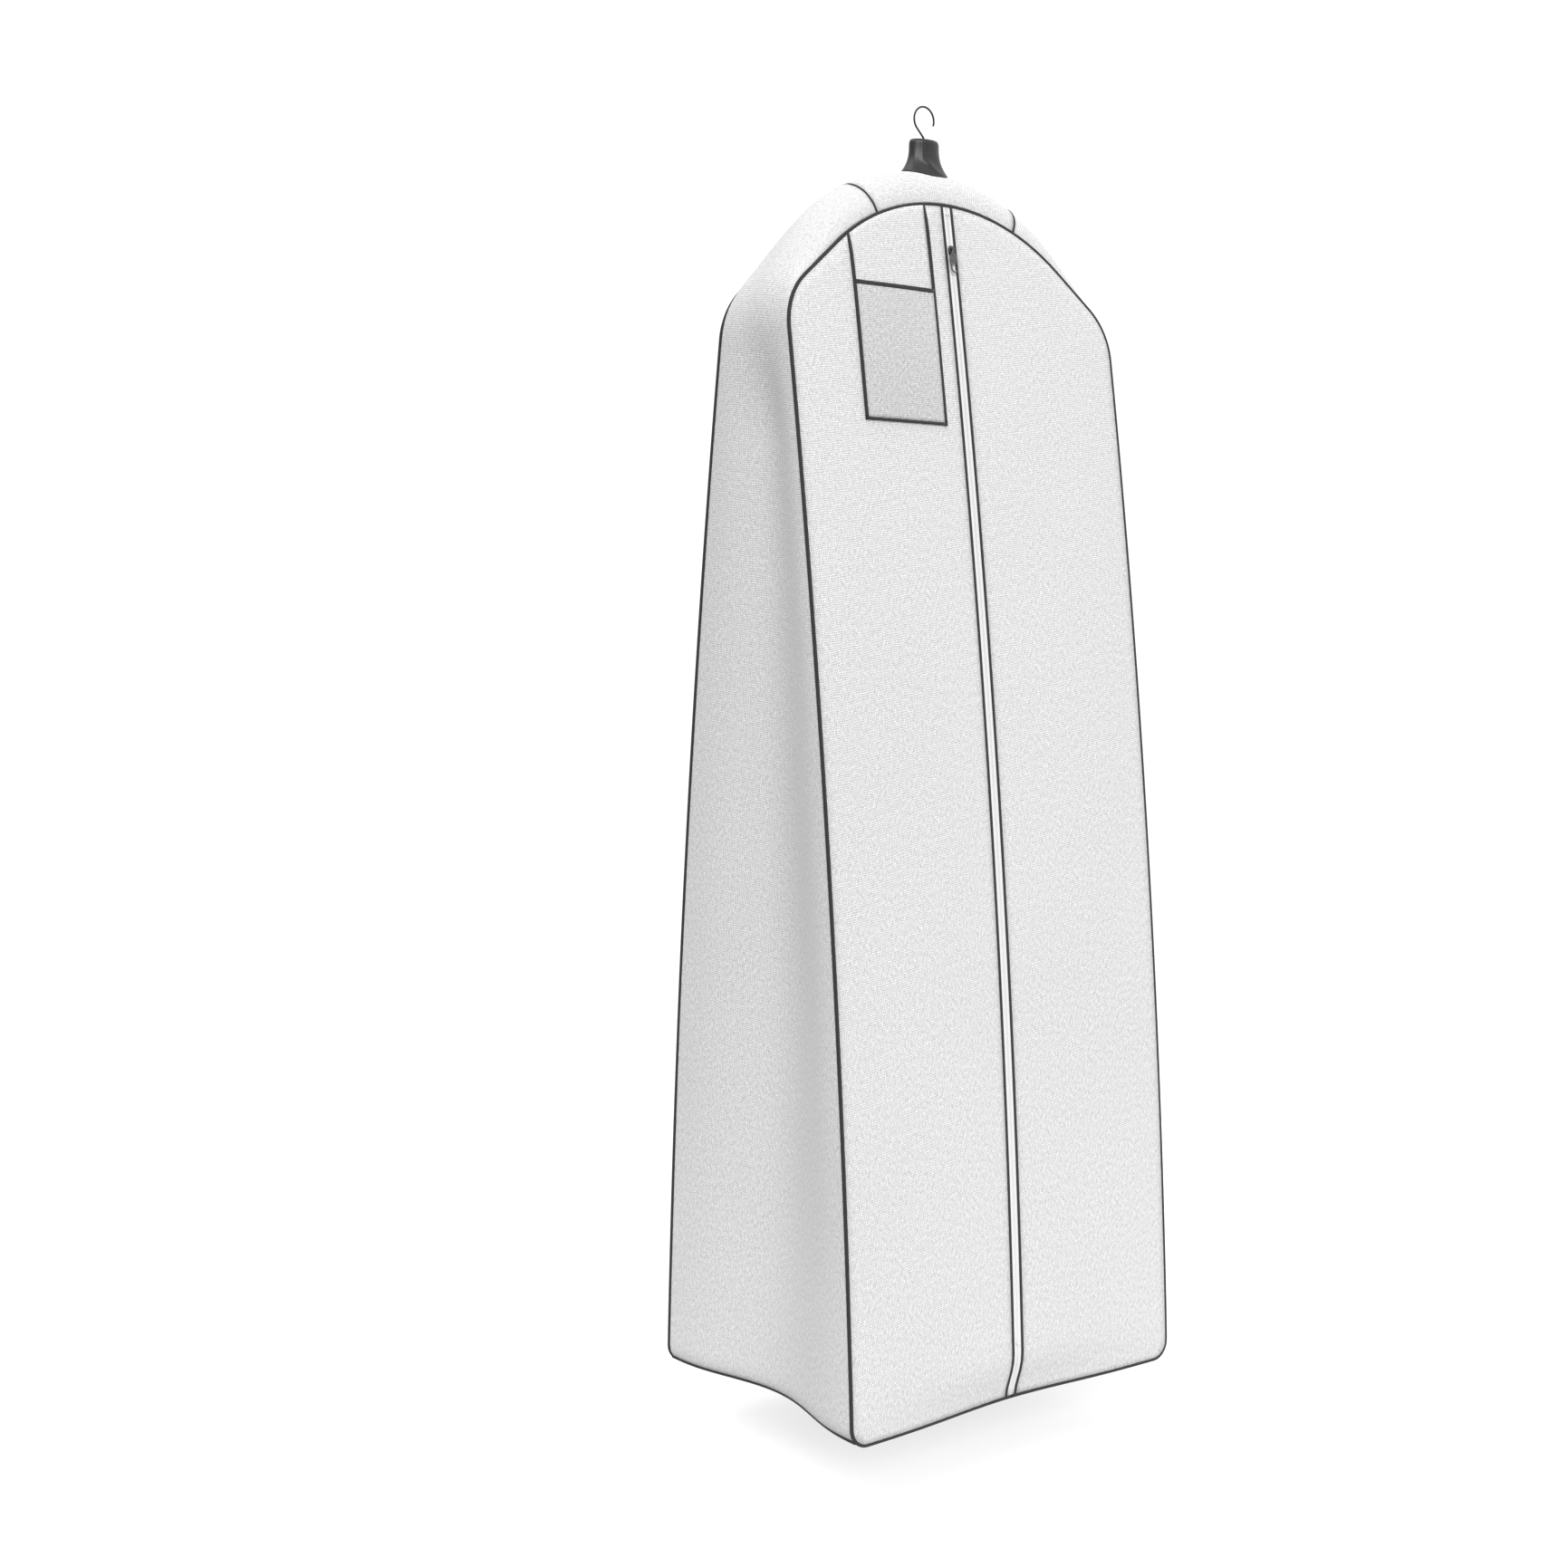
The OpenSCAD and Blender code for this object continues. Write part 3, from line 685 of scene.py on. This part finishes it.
def collar():
    """A bell of coated vinyl, rounded over at its rim and sewn to the crown. One soft ridge
    runs down from the rim, and one pleat runs across the flare."""
    rim_x, rim_y, base_x, base_y = 0.0275, 0.016, 0.043, 0.028
    mean_radius, height = 0.03, 0.055
    ridge_bearing = math.radians(212)
    around = np.linspace(0, 2 * math.pi, 97)[:-1]
    turn = np.arctan2(np.sin(around - ridge_bearing), np.cos(around - ridge_bearing))
    rows = 34
    points = np.zeros((rows, len(around), 3))
    uvs = np.zeros((rows, len(around), 2))
    for r in range(rows):
        down = r / (rows - 1)
        flare = down**3.4
        lip = 0.0024 * max(0, 1 - down * 8) ** 2
        lower = smooth_step((down - 0.45) / 0.3)
        ridge = 0.0013 * np.exp(-((turn / 0.13) ** 2)) * (1 - lower)
        slant = turn + 0.95 - (1 - down) * 2.0
        pleat = 0.0022 * np.exp(-((slant / 0.22) ** 2)) * lower
        pleat = pleat * (1 - smooth_step((down - 0.88) / 0.12))
        waves = 0.0007 * np.sin(around * 3 + 0.6) + 0.0004 * np.sin(around * 7 + 2.1 + down)
        folds = ridge + pleat + waves * down - lip
        x = (rim_x + (base_x - rim_x) * flare + folds) * np.sin(around)
        y = (rim_y + (base_y - rim_y) * flare + folds) * np.cos(around)
        base = crown_top(x, y) + CLOTH_T
        z = COLLAR_TOP_Z + (base - COLLAR_TOP_Z) * down
        points[r] = np.stack([x, y, z], 1)
        uvs[r] = np.stack([around * mean_radius, np.full(len(around), down * height)], 1)
    obj = grid_object("collar_vinyl", points, uvs, ring=True)
    face_outward(obj, (0, 0, COLLAR_TOP_Z - 0.03))
    thicken(obj, VINYL_T)
    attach(obj, "bag")
    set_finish(obj, "collar_vinyl")
    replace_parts(obj, "collar")


# ---------------------------------------------------------------- hard parts

# Each hard part keeps its CAD shape, with its edges bevelled by this much
HARD_PARTS = {
    "hook_wire": 0.0, "hook_washer": 0.0003, "hook_ferrule": 0.0004, "hanger_body": 0.0025,
    "zip_slider": 0.0002, "pull_tab": 0.00015, "zip_top_stop": 0.0002, "zip_bottom_stop": 0.0002,
}


def hard_part(node, bevel):
    """A copy of a CAD part with soft edges."""
    source = frame["nodes"][node]
    made = bmesh.new()
    made.from_mesh(source.data)
    bmesh.ops.remove_doubles(made, verts=made.verts, dist=1e-6)
    bmesh.ops.dissolve_limit(
        made, angle_limit=math.radians(0.5), verts=made.verts, edges=made.edges
    )
    mesh = bpy.data.meshes.new(node + "_look")
    made.to_mesh(mesh)
    made.free()
    obj = link(bpy.data.objects.new(node + "_look", mesh))
    if bevel:
        soft = obj.modifiers.new("edges", "BEVEL")
        soft.width = bevel
        soft.segments = 2
        soft.limit_method = "ANGLE"
        soft.angle_limit = math.radians(35)
        apply_modifiers(obj)
    obj.data.polygons.foreach_set("use_smooth", np.ones(len(obj.data.polygons), bool))
    obj.data.set_sharp_from_angle(angle=math.radians(38))
    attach(obj, source["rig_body"])
    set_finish(obj, SLOTS[node])
    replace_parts(obj, node)


# ---------------------------------------------------------------- materials


class Nodes:
    """A short way to write a material's node tree."""

    def __init__(self, name):
        self.material = bpy.data.materials.new(name)
        self.material.use_nodes = True
        self.tree = self.material.node_tree
        self.shader = self.tree.nodes["Principled BSDF"]

    def add(self, kind, **values):
        node = self.tree.nodes.new(kind)
        for key, value in values.items():
            setattr(node, key, value)
        return node

    def link(self, out, into):
        self.tree.links.new(out, into)

    def math(self, operation, a, b=0.0):
        node = self.add("ShaderNodeMath", operation=operation)
        for value, socket in zip((a, b), node.inputs):
            if isinstance(value, (int, float)):
                socket.default_value = value
            else:
                self.link(value, socket)
        return node.outputs[0]

    def wave(self, value, period):
        """A sine wave from -1 to 1 that repeats once in each period."""
        return self.math("SINE", self.math("MULTIPLY", value, 2 * math.pi / period))

    def cloth_uv(self):
        return self.add("ShaderNodeUVMap", uv_map="cloth").outputs[0]

    def place(self):
        return self.add("ShaderNodeTexCoord").outputs["Object"]

    def mapped(self, vector, scale, angle=0.0, location=(0, 0, 0)):
        node = self.add("ShaderNodeMapping")
        self.link(vector, node.inputs["Vector"])
        node.inputs["Location"].default_value = location
        node.inputs["Rotation"].default_value = (0, 0, math.radians(angle))
        node.inputs["Scale"].default_value = scale
        return node.outputs[0]

    def split(self, vector):
        node = self.add("ShaderNodeSeparateXYZ")
        self.link(vector, node.inputs[0])
        return node.outputs

    def mix(self, share, a, b):
        """Colour a at share 0, and colour b at share 1."""
        node = self.add("ShaderNodeMix", data_type="RGBA")
        sockets = node.inputs[0], node.inputs[6], node.inputs[7]
        for value, socket in zip((share, a, b), sockets):
            if hasattr(value, "is_linked"):
                self.link(value, socket)
            else:
                socket.default_value = value
        return node.outputs[2]

    def ramp(self, value, low, high):
        """0 at low and 1 at high, and flat beyond both."""
        node = self.add("ShaderNodeMapRange", clamp=True)
        self.link(value, node.inputs[0])
        node.inputs[1].default_value = low
        node.inputs[2].default_value = high
        return node.outputs[0]

    def noise(self, vector, scale, detail, roughness):
        node = self.add("ShaderNodeTexNoise")
        self.link(vector, node.inputs["Vector"])
        node.inputs["Scale"].default_value = scale
        node.inputs["Detail"].default_value = detail
        node.inputs["Roughness"].default_value = roughness
        return node.outputs["Fac"]

    def bump(self, height, distance, strength, under=None):
        node = self.add("ShaderNodeBump")
        node.inputs["Strength"].default_value = strength
        node.inputs["Distance"].default_value = distance
        self.link(height, node.inputs["Height"])
        if under is not None:
            self.link(under, node.inputs["Normal"])
        return node.outputs["Normal"]

    def set(self, **values):
        for key, value in values.items():
            socket = self.shader.inputs[key.replace("_", " ")]
            if hasattr(value, "is_linked"):
                self.link(value, socket)
            else:
                socket.default_value = value


def grey(value, tint=(1, 1, 1)):
    return (value * tint[0], value * tint[1], value * tint[2], 1)


# The two threads of the bag's cloth run at these angles, in degrees
WARP_ANGLE, WEFT_ANGLE = 38, -52


def weave(n, uv, period):
    """A diagonal dotted weave of threads that wander a little, from 0 to 1."""
    drift = n.add("ShaderNodeTexNoise")
    n.link(uv, drift.inputs["Vector"])
    drift.inputs["Scale"].default_value = 70
    drift.inputs["Detail"].default_value = 2.0
    moved = n.add("ShaderNodeVectorMath", operation="MULTIPLY_ADD")
    n.link(drift.outputs["Color"], moved.inputs[0])
    moved.inputs[1].default_value = (period * 1.2, period * 1.2, 0)
    n.link(uv, moved.inputs[2])
    turned = n.split(n.mapped(moved.outputs[0], (1 / period, 0.8 / period, 1), WARP_ANGLE))
    dots = n.math("MULTIPLY", n.wave(turned[0], 1.0), n.wave(turned[1], 1.0))
    return n.ramp(dots, -1.0, 1.0)


def slub(n, uv, scale):
    """Thick and thin threads: a grain that's stretched along both threads of the weave."""
    parts = []
    for angle, shift in ((WARP_ANGLE, 0.0), (WEFT_ANGLE, 3.7)):
        threads = n.mapped(uv, (1, 0.62, 1), angle, (shift, shift, 0))
        parts.append(n.noise(threads, scale, 2.0, 0.6))
    return n.math("MULTIPLY", n.math("ADD", *parts), 0.5)


def cloth_material(name, light, pit, period, grain, rough=0.88, wear=0.04):
    """Bag cloth: a dotted weave of uneven threads, fine fibres, and slow changes of tone.
    grain is how dark the thin threads are, and wear how dark the slow patches are."""
    n = Nodes(name)
    uv = n.cloth_uv()
    pattern = weave(n, uv, period)
    threads = n.ramp(slub(n, uv, 0.9 / period), 0.36, 0.64)
    fibres = n.noise(uv, 2600, 3.0, 0.65)
    slow = n.noise(n.place(), 3.2, 3.0, 0.5)
    fibre_share = n.math("MULTIPLY", n.ramp(fibres, 0.35, 0.75), 0.10)
    wear_share = n.math("MULTIPLY", n.ramp(slow, 0.35, 0.75), wear)
    shade = n.mix(n.math("POWER", pattern, 2.2), grey(light), grey(pit))
    shade = n.mix(n.math("MULTIPLY", threads, grain), shade, grey(pit))
    shade = n.mix(fibre_share, shade, grey(pit * 0.9))
    shade = n.mix(wear_share, shade, grey(pit, (1, 0.99, 0.97)))
    n.set(Base_Color=shade, Roughness=n.math("ADD", rough - 0.05, n.math("MULTIPLY", fibres, 0.1)))
    n.set(Sheen_Weight=0.1, Sheen_Roughness=0.5, Specular_IOR_Level=0.25)
    normal = n.bump(pattern, 0.0004, 0.55)
    normal = n.bump(threads, 0.0003, 0.4, normal)
    n.set(Normal=n.bump(fibres, 0.00012, 0.5, normal))
    return n.material


def binding_material():
    """Black ribbed tape with a row of stitches down its middle."""
    rib_pitch, stitch_pitch = 0.0011, 0.0045
    n = Nodes("binding")
    uv = n.cloth_uv()
    across, along = n.split(uv)[:2]
    ribs = n.ramp(n.wave(along, rib_pitch), -1, 1)
    dash = n.ramp(n.wave(along, stitch_pitch), -0.35, 0.1)
    centre = n.ramp(n.math("ABSOLUTE", across), 0.00042, 0.00022)
    stitch = n.math("MULTIPLY", dash, centre)
    fuzz = n.noise(uv, 1800, 2.0, 0.6)
    shade = n.mix(ribs, grey(0.010), grey(0.034))
    shade = n.mix(n.math("MULTIPLY", fuzz, 0.25), shade, grey(0.05))
    shade = n.mix(n.math("MULTIPLY", stitch, 0.7), shade, grey(0.055))
    n.set(Base_Color=shade, Roughness=n.math("ADD", 0.62, n.math("MULTIPLY", fuzz, 0.2)))
    n.set(Specular_IOR_Level=0.3, Sheen_Weight=0.08)
    height = n.math("ADD", n.math("MULTIPLY", ribs, 0.4), stitch)
    n.set(Normal=n.bump(height, 0.00022, 0.8))
    return n.material


def vinyl_material():
    """Black coated vinyl: a fine grain, glossy with duller smears."""
    n = Nodes("collar_vinyl")
    place = n.place()
    cells = n.add("ShaderNodeTexVoronoi")
    n.link(place, cells.inputs["Vector"])
    cells.inputs["Scale"].default_value = 900
    grain = cells.outputs["Distance"]
    smear = n.noise(place, 60, 3.0, 0.6)
    shade = n.mix(n.ramp(smear, 0.3, 0.8), grey(0.012), grey(0.022, (1, 1, 1.03)))
    n.set(Base_Color=shade, Roughness=n.math("ADD", 0.28, n.math("MULTIPLY", smear, 0.2)))
    n.set(Specular_IOR_Level=0.45)
    normal = n.bump(grain, 0.00008, 0.35)
    n.set(Normal=n.bump(smear, 0.0004, 0.2, normal))
    return n.material


def metal_material(name, light, dark, rough, metallic=1.0):
    """Plated or enamelled metal with fine drawn streaks and small scuffs."""
    scuff_scale = 260
    n = Nodes(name)
    place = n.place()
    streaks = n.noise(n.mapped(place, (1, 1, 0.12)), scuff_scale * 6, 3.0, 0.6)
    scuffs = n.noise(place, scuff_scale, 4.0, 0.65)
    n.set(Base_Color=n.mix(n.ramp(scuffs, 0.35, 0.7), light, dark), Metallic=metallic)
    n.set(Roughness=n.math("ADD", rough, n.math("MULTIPLY", streaks, 0.22)))
    normal = n.bump(streaks, 0.00003, 0.4)
    n.set(Normal=n.bump(scuffs, 0.0001, 0.25, normal))
    return n.material


def wood_material():
    """Lacquered beech: long grain along the arms with short flecks."""
    n = Nodes("hanger_wood")
    stretched = n.mapped(n.place(), (0.14, 1.5, 1))
    grain = n.noise(stretched, 240, 6.0, 0.62)
    flecks = n.noise(stretched, 1500, 2.0, 0.5)
    fleck_share = n.math("MULTIPLY", n.ramp(flecks, 0.55, 0.7), 0.4)
    shade = n.mix(n.ramp(grain, 0.3, 0.7), (0.62, 0.44, 0.27, 1), (0.42, 0.26, 0.14, 1))
    shade = n.mix(fleck_share, shade, (0.30, 0.17, 0.09, 1))
    n.set(Base_Color=shade, Roughness=n.math("ADD", 0.3, n.math("MULTIPLY", grain, 0.2)))
    n.set(Coat_Weight=0.3, Coat_Roughness=0.2)
    n.set(Normal=n.bump(grain, 0.0002, 0.3))
    return n.material


def plastic_material():
    """White moulded coil."""
    n = Nodes("zip_coil")
    tone = n.noise(n.place(), 400, 3.0, 0.6)
    n.set(Base_Color=n.mix(tone, grey(0.80), grey(0.70)))
    n.set(Roughness=n.math("ADD", 0.38, n.math("MULTIPLY", tone, 0.15)))
    n.set(Normal=n.bump(tone, 0.00005, 0.3))
    return n.material


def tape_material():
    """White knitted zip tape: fine chevrons along its length."""
    chevron_pitch = 0.0012
    n = Nodes("zip_tape")
    uv = n.cloth_uv()
    across, along = n.split(uv)[:2]
    slanted = n.math("ADD", along, n.math("ABSOLUTE", across))
    ribs = n.ramp(n.wave(slanted, chevron_pitch), -1, 1)
    fuzz = n.noise(uv, 2200, 3.0, 0.6)
    shade = n.mix(n.math("MULTIPLY", ribs, 0.5), grey(0.84), grey(0.70))
    shade = n.mix(n.math("MULTIPLY", fuzz, 0.15), shade, grey(0.6))
    n.set(Base_Color=shade, Roughness=n.math("ADD", 0.8, n.math("MULTIPLY", fuzz, 0.1)))
    n.set(Specular_IOR_Level=0.25, Normal=n.bump(ribs, 0.0002, 0.5))
    return n.material


BRASS, DARK_BRASS = (0.72, 0.52, 0.22, 1), (0.50, 0.34, 0.13, 1)
MATERIALS = {
    "cloth": cloth_material("cloth", 0.965, 0.31, 0.0036, 0.46),
    "binding": binding_material(),
    "window_mesh": cloth_material(
        "window_mesh", 0.92, 0.20, 0.0030, 0.54, rough=0.7, wear=0.12
    ),
    "collar_vinyl": vinyl_material(),
    "hook_steel": metal_material("hook_steel", grey(0.020), grey(0.010), 0.42, 0.0),
    "ferrule_brass": metal_material("ferrule_brass", BRASS, DARK_BRASS, 0.22),
    "hanger_wood": wood_material(),
    "zip_tape": tape_material(),
    "zip_coil": plastic_material(),
    "zip_metal": metal_material("zip_metal", grey(0.16), grey(0.08), 0.24),
}


def paint(obj, slot_name):
    obj.data.materials.clear()
    obj.data.materials.append(MATERIALS[slot_name])


# ---------------------------------------------------------------- camera, light and floor


CAMERA_AT = (-2.218, -2.549, -0.8036)
CAMERA_BEARING, CAMERA_PITCH = 37.345, -4.175
CAMERA_LENS, CAMERA_SENSOR = 48.96, 36
FLOOR_DROP = 0.10
FLOOR_RADIUS = 3.4


def aim(obj, bearing, pitch):
    """Points a camera or light along a way. bearing 0 looks to the back, and 90 to the right;
    a negative pitch looks down. Both are in degrees."""
    turn, tilt = math.radians(bearing), math.radians(pitch)
    way = Vector((
        math.sin(turn) * math.cos(tilt), math.cos(turn) * math.cos(tilt), math.sin(tilt)
    ))
    obj.rotation_euler = way.to_track_quat("-Z", "Y").to_euler()


def camera():
    data = bpy.data.cameras.new("camera")
    data.sensor_width = CAMERA_SENSOR
    data.lens = CAMERA_LENS
    data.clip_end = 60
    obj = link(bpy.data.objects.new("camera", data))
    obj.location = CAMERA_AT
    aim(obj, CAMERA_BEARING, CAMERA_PITCH)
    bpy.context.scene.camera = obj


def floor():
    """A pale round floor below the hem. It lets some of the backdrop through, and fades out
    into it towards its rim."""
    made = bmesh.new()
    bmesh.ops.create_circle(made, cap_ends=True, segments=96, radius=FLOOR_RADIUS)
    mesh = bpy.data.meshes.new("floor")
    made.to_mesh(mesh)
    made.free()
    obj = link(bpy.data.objects.new("floor", mesh))
    obj.location = (0.9, 0.9, HEM_Z - FLOOR_DROP)
    n = Nodes("floor")
    place = n.place()
    tone = n.noise(place, 1.5, 2.0, 0.5)
    n.set(Base_Color=n.mix(tone, grey(0.95), grey(0.93)), Roughness=0.7)
    far = n.add("ShaderNodeVectorMath", operation="LENGTH")
    n.link(place, far.inputs[0])
    n.set(Alpha=n.math("MULTIPLY", n.ramp(far.outputs["Value"], 3.0, 0.9), 0.6))
    mesh.materials.append(n.material)


def world():
    """White from the right, above and behind, falling to grey on the opposite side."""
    brightest_way = Vector((0.80, 0.32, 0.50)).normalized()
    fade_start, fade_end, dim, bright = -0.35, 0.30, 0.42, 1.12
    made = bpy.data.worlds.new("studio")
    bpy.context.scene.world = made
    made.use_nodes = True
    tree = made.node_tree
    back = tree.nodes["Background"]
    way = tree.nodes.new("ShaderNodeTexCoord")
    share = tree.nodes.new("ShaderNodeVectorMath")
    share.operation = "DOT_PRODUCT"
    share.inputs[1].default_value = brightest_way
    tree.links.new(way.outputs["Generated"], share.inputs[0])
    fade = tree.nodes.new("ShaderNodeMapRange")
    fade.interpolation_type = "SMOOTHSTEP"
    for socket, value in zip(fade.inputs[1:5], (fade_start, fade_end, dim, bright)):
        socket.default_value = value
    tree.links.new(share.outputs["Value"], fade.inputs[0])
    tree.links.new(fade.outputs[0], back.inputs["Strength"])
    back.inputs["Color"].default_value = (1, 1, 1, 1)


def sun(name, azimuth, elevation, angle, strength):
    """A large soft light. azimuth 0 comes from the front, and 90 from the right."""
    data = bpy.data.lights.new(name, "SUN")
    data.energy = strength
    data.angle = math.radians(angle)
    obj = link(bpy.data.objects.new(name, data))
    aim(obj, -azimuth, -elevation)


camera()
floor()
world()
sun("key", azimuth=-27, elevation=29, angle=26, strength=1.78)
sun("fill", azimuth=-95, elevation=62, angle=50, strength=1.1)
bpy.context.scene.view_settings.view_transform = "Standard"

# ---------------------------------------------------------------- the bag

# Run lengths of the gusset's cross seams, and how near to them its cloth ends
crown_seam = ARCH_R * math.asin(CROWN_SEAM_X / ARCH_R)
hem_seam = run_at_bearing(HEM_SEAM_BEARING)
clear = CROSS_BINDING_W / 2 * 0.8

front_left = panel("front_cloth_left", -HALF_W, -ZIP_HALF_W, 1)
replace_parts(front_left, "front_panel_left")
front_right = panel("front_cloth_right", ZIP_HALF_W, HALF_W, 2)
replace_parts(front_right, "front_panel_right")
rear = panel("back_cloth", -HALF_W, HALF_W, 3, back=True)
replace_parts(rear, "back_panel")

left = gusset("gusset_cloth_left", -(crown_seam + clear), -(hem_seam - clear), 4)
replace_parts(left, "gusset_left")
right = gusset("gusset_cloth_right", crown_seam + clear, hem_seam - clear, 5)
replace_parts(right, "gusset_right")
crown = gusset(
    "crown_cloth", -(crown_seam - clear), crown_seam - clear, 6, 0.0012, hole=(0.033, 0.021)
)
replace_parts(crown, "gusset_top")
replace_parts(bottom_panel(), "bottom_panel")

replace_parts(piping("piping_tape_front", back=False), "piping_front")
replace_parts(piping("piping_tape_back", back=True), "piping_back")
flat_tape = superellipse(CROSS_BINDING_W / 2, -0.0018, 0.0010, 0.6)
round_cord = superellipse(CROSS_BINDING_W / 2 + 0.0010, -0.0024, 0.0028, 0.9)
for side, word in ((-1, "left"), (1, "right")):
    seam = cross_binding(f"crown_seam_{word}", crown_seam, side, flat_tape)
    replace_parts(seam, f"gusset_binding_{word}")
    hem = cross_binding(f"hem_seam_{word}", hem_seam, side, round_cord)
    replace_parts(hem, f"bottom_binding_{word}")

# zip
zip_top, zip_bottom = arch_top(0), HEM_Z + PIPING_W
for side, word in ((-1, "left"), (1, "right")):
    edge_x = side * (ZIP_HALF_W - ZIP_BINDING_W / 2)
    tape_x = side * ZIP_TAPE_X / 2
    binding = strip_on_front(
        f"zip_edge_{word}", (edge_x, zip_top), (edge_x, zip_bottom),
        ZIP_BINDING_W, -0.0016, 0.0008, "binding",
    )
    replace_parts(binding, f"zip_binding_{word}")
    tape = strip_on_front(
        f"zip_cloth_{word}", (tape_x, zip_top), (tape_x, zip_bottom),
        ZIP_TAPE_X + 0.0004, -0.001, -0.0003, "zip_tape", power=0.2,
    )
    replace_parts(tape, f"zip_tape_{word}")
    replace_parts(coil(f"zip_teeth_{word}", side), f"zip_coil_{word}")

# pocket
mouth_middle = (MOUTH_LO.z + MOUTH_HI.z) / 2
backing = pocket_sheet(
    "pocket_cloth", arch_top, FOOT_HI.z, lambda t: 0.0009, lambda t: 0.0004, "cloth", 11
)
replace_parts(backing, "pocket_backing")
window = pocket_sheet(
    "pocket_mesh", lambda x: mouth_middle, FOOT_HI.z,
    lambda t: 0.0030 - 0.0006 * t, lambda t: 0.0022 * np.sin(math.pi * t),
    "window_mesh", 12,
)
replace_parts(window, "pocket_window")

left_x = POCKET_LO.x + POCKET_BINDING_W / 2
right_x = POCKET_RIGHT_X - POCKET_BINDING_W / 2
foot_z = (FOOT_LO.z + FOOT_HI.z) / 2
mouth_w, foot_w = MOUTH_HI.z - MOUTH_LO.z, FOOT_HI.z - FOOT_LO.z
side_end = foot_z - foot_w / 2
side_strip = (POCKET_BINDING_W, -0.0004, 0.0038)
strips = {
    "left": ((left_x, arch_top(left_x)), (left_x, side_end), *side_strip),
    "right": ((right_x, arch_top(right_x)), (right_x, side_end), *side_strip),
    "top": ((left_x, mouth_middle), (right_x, mouth_middle), mouth_w, 0.0022, 0.0040),
    "bottom": ((left_x, foot_z), (right_x, foot_z), foot_w, -0.0004, 0.0037),
}
strip_step = 0.01
tuck_depth, tuck_length = 0.0024, 0.03
for word, (start, end, width, low, high) in strips.items():
    plan = strip_plan(start, end, strip_step)
    lift = panel_puff(plan[:, 0], plan[:, 1], 1, zipped=True)
    if word in ("left", "right"):
        # their upper ends are tucked down to the piping
        lift = lift - tuck_depth * (1 - smooth_step((start[1] - plan[:, 1]) / tuck_length))
    strip = strip_on_front(
        f"pocket_edge_{word}", start, end, width, low, high, "binding", lift=lift,
        step=strip_step, power=0.55,
    )
    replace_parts(strip, f"pocket_binding_{word}")

collar()

for node, bevel in HARD_PARTS.items():
    hard_part(node, bevel)

for obj in bpy.context.scene.objects:
    if obj.type == "MESH" and obj.get("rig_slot"):
        paint(obj, obj["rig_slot"])
for name, obj in frame["nodes"].items():
    paint(obj, SLOTS[name])
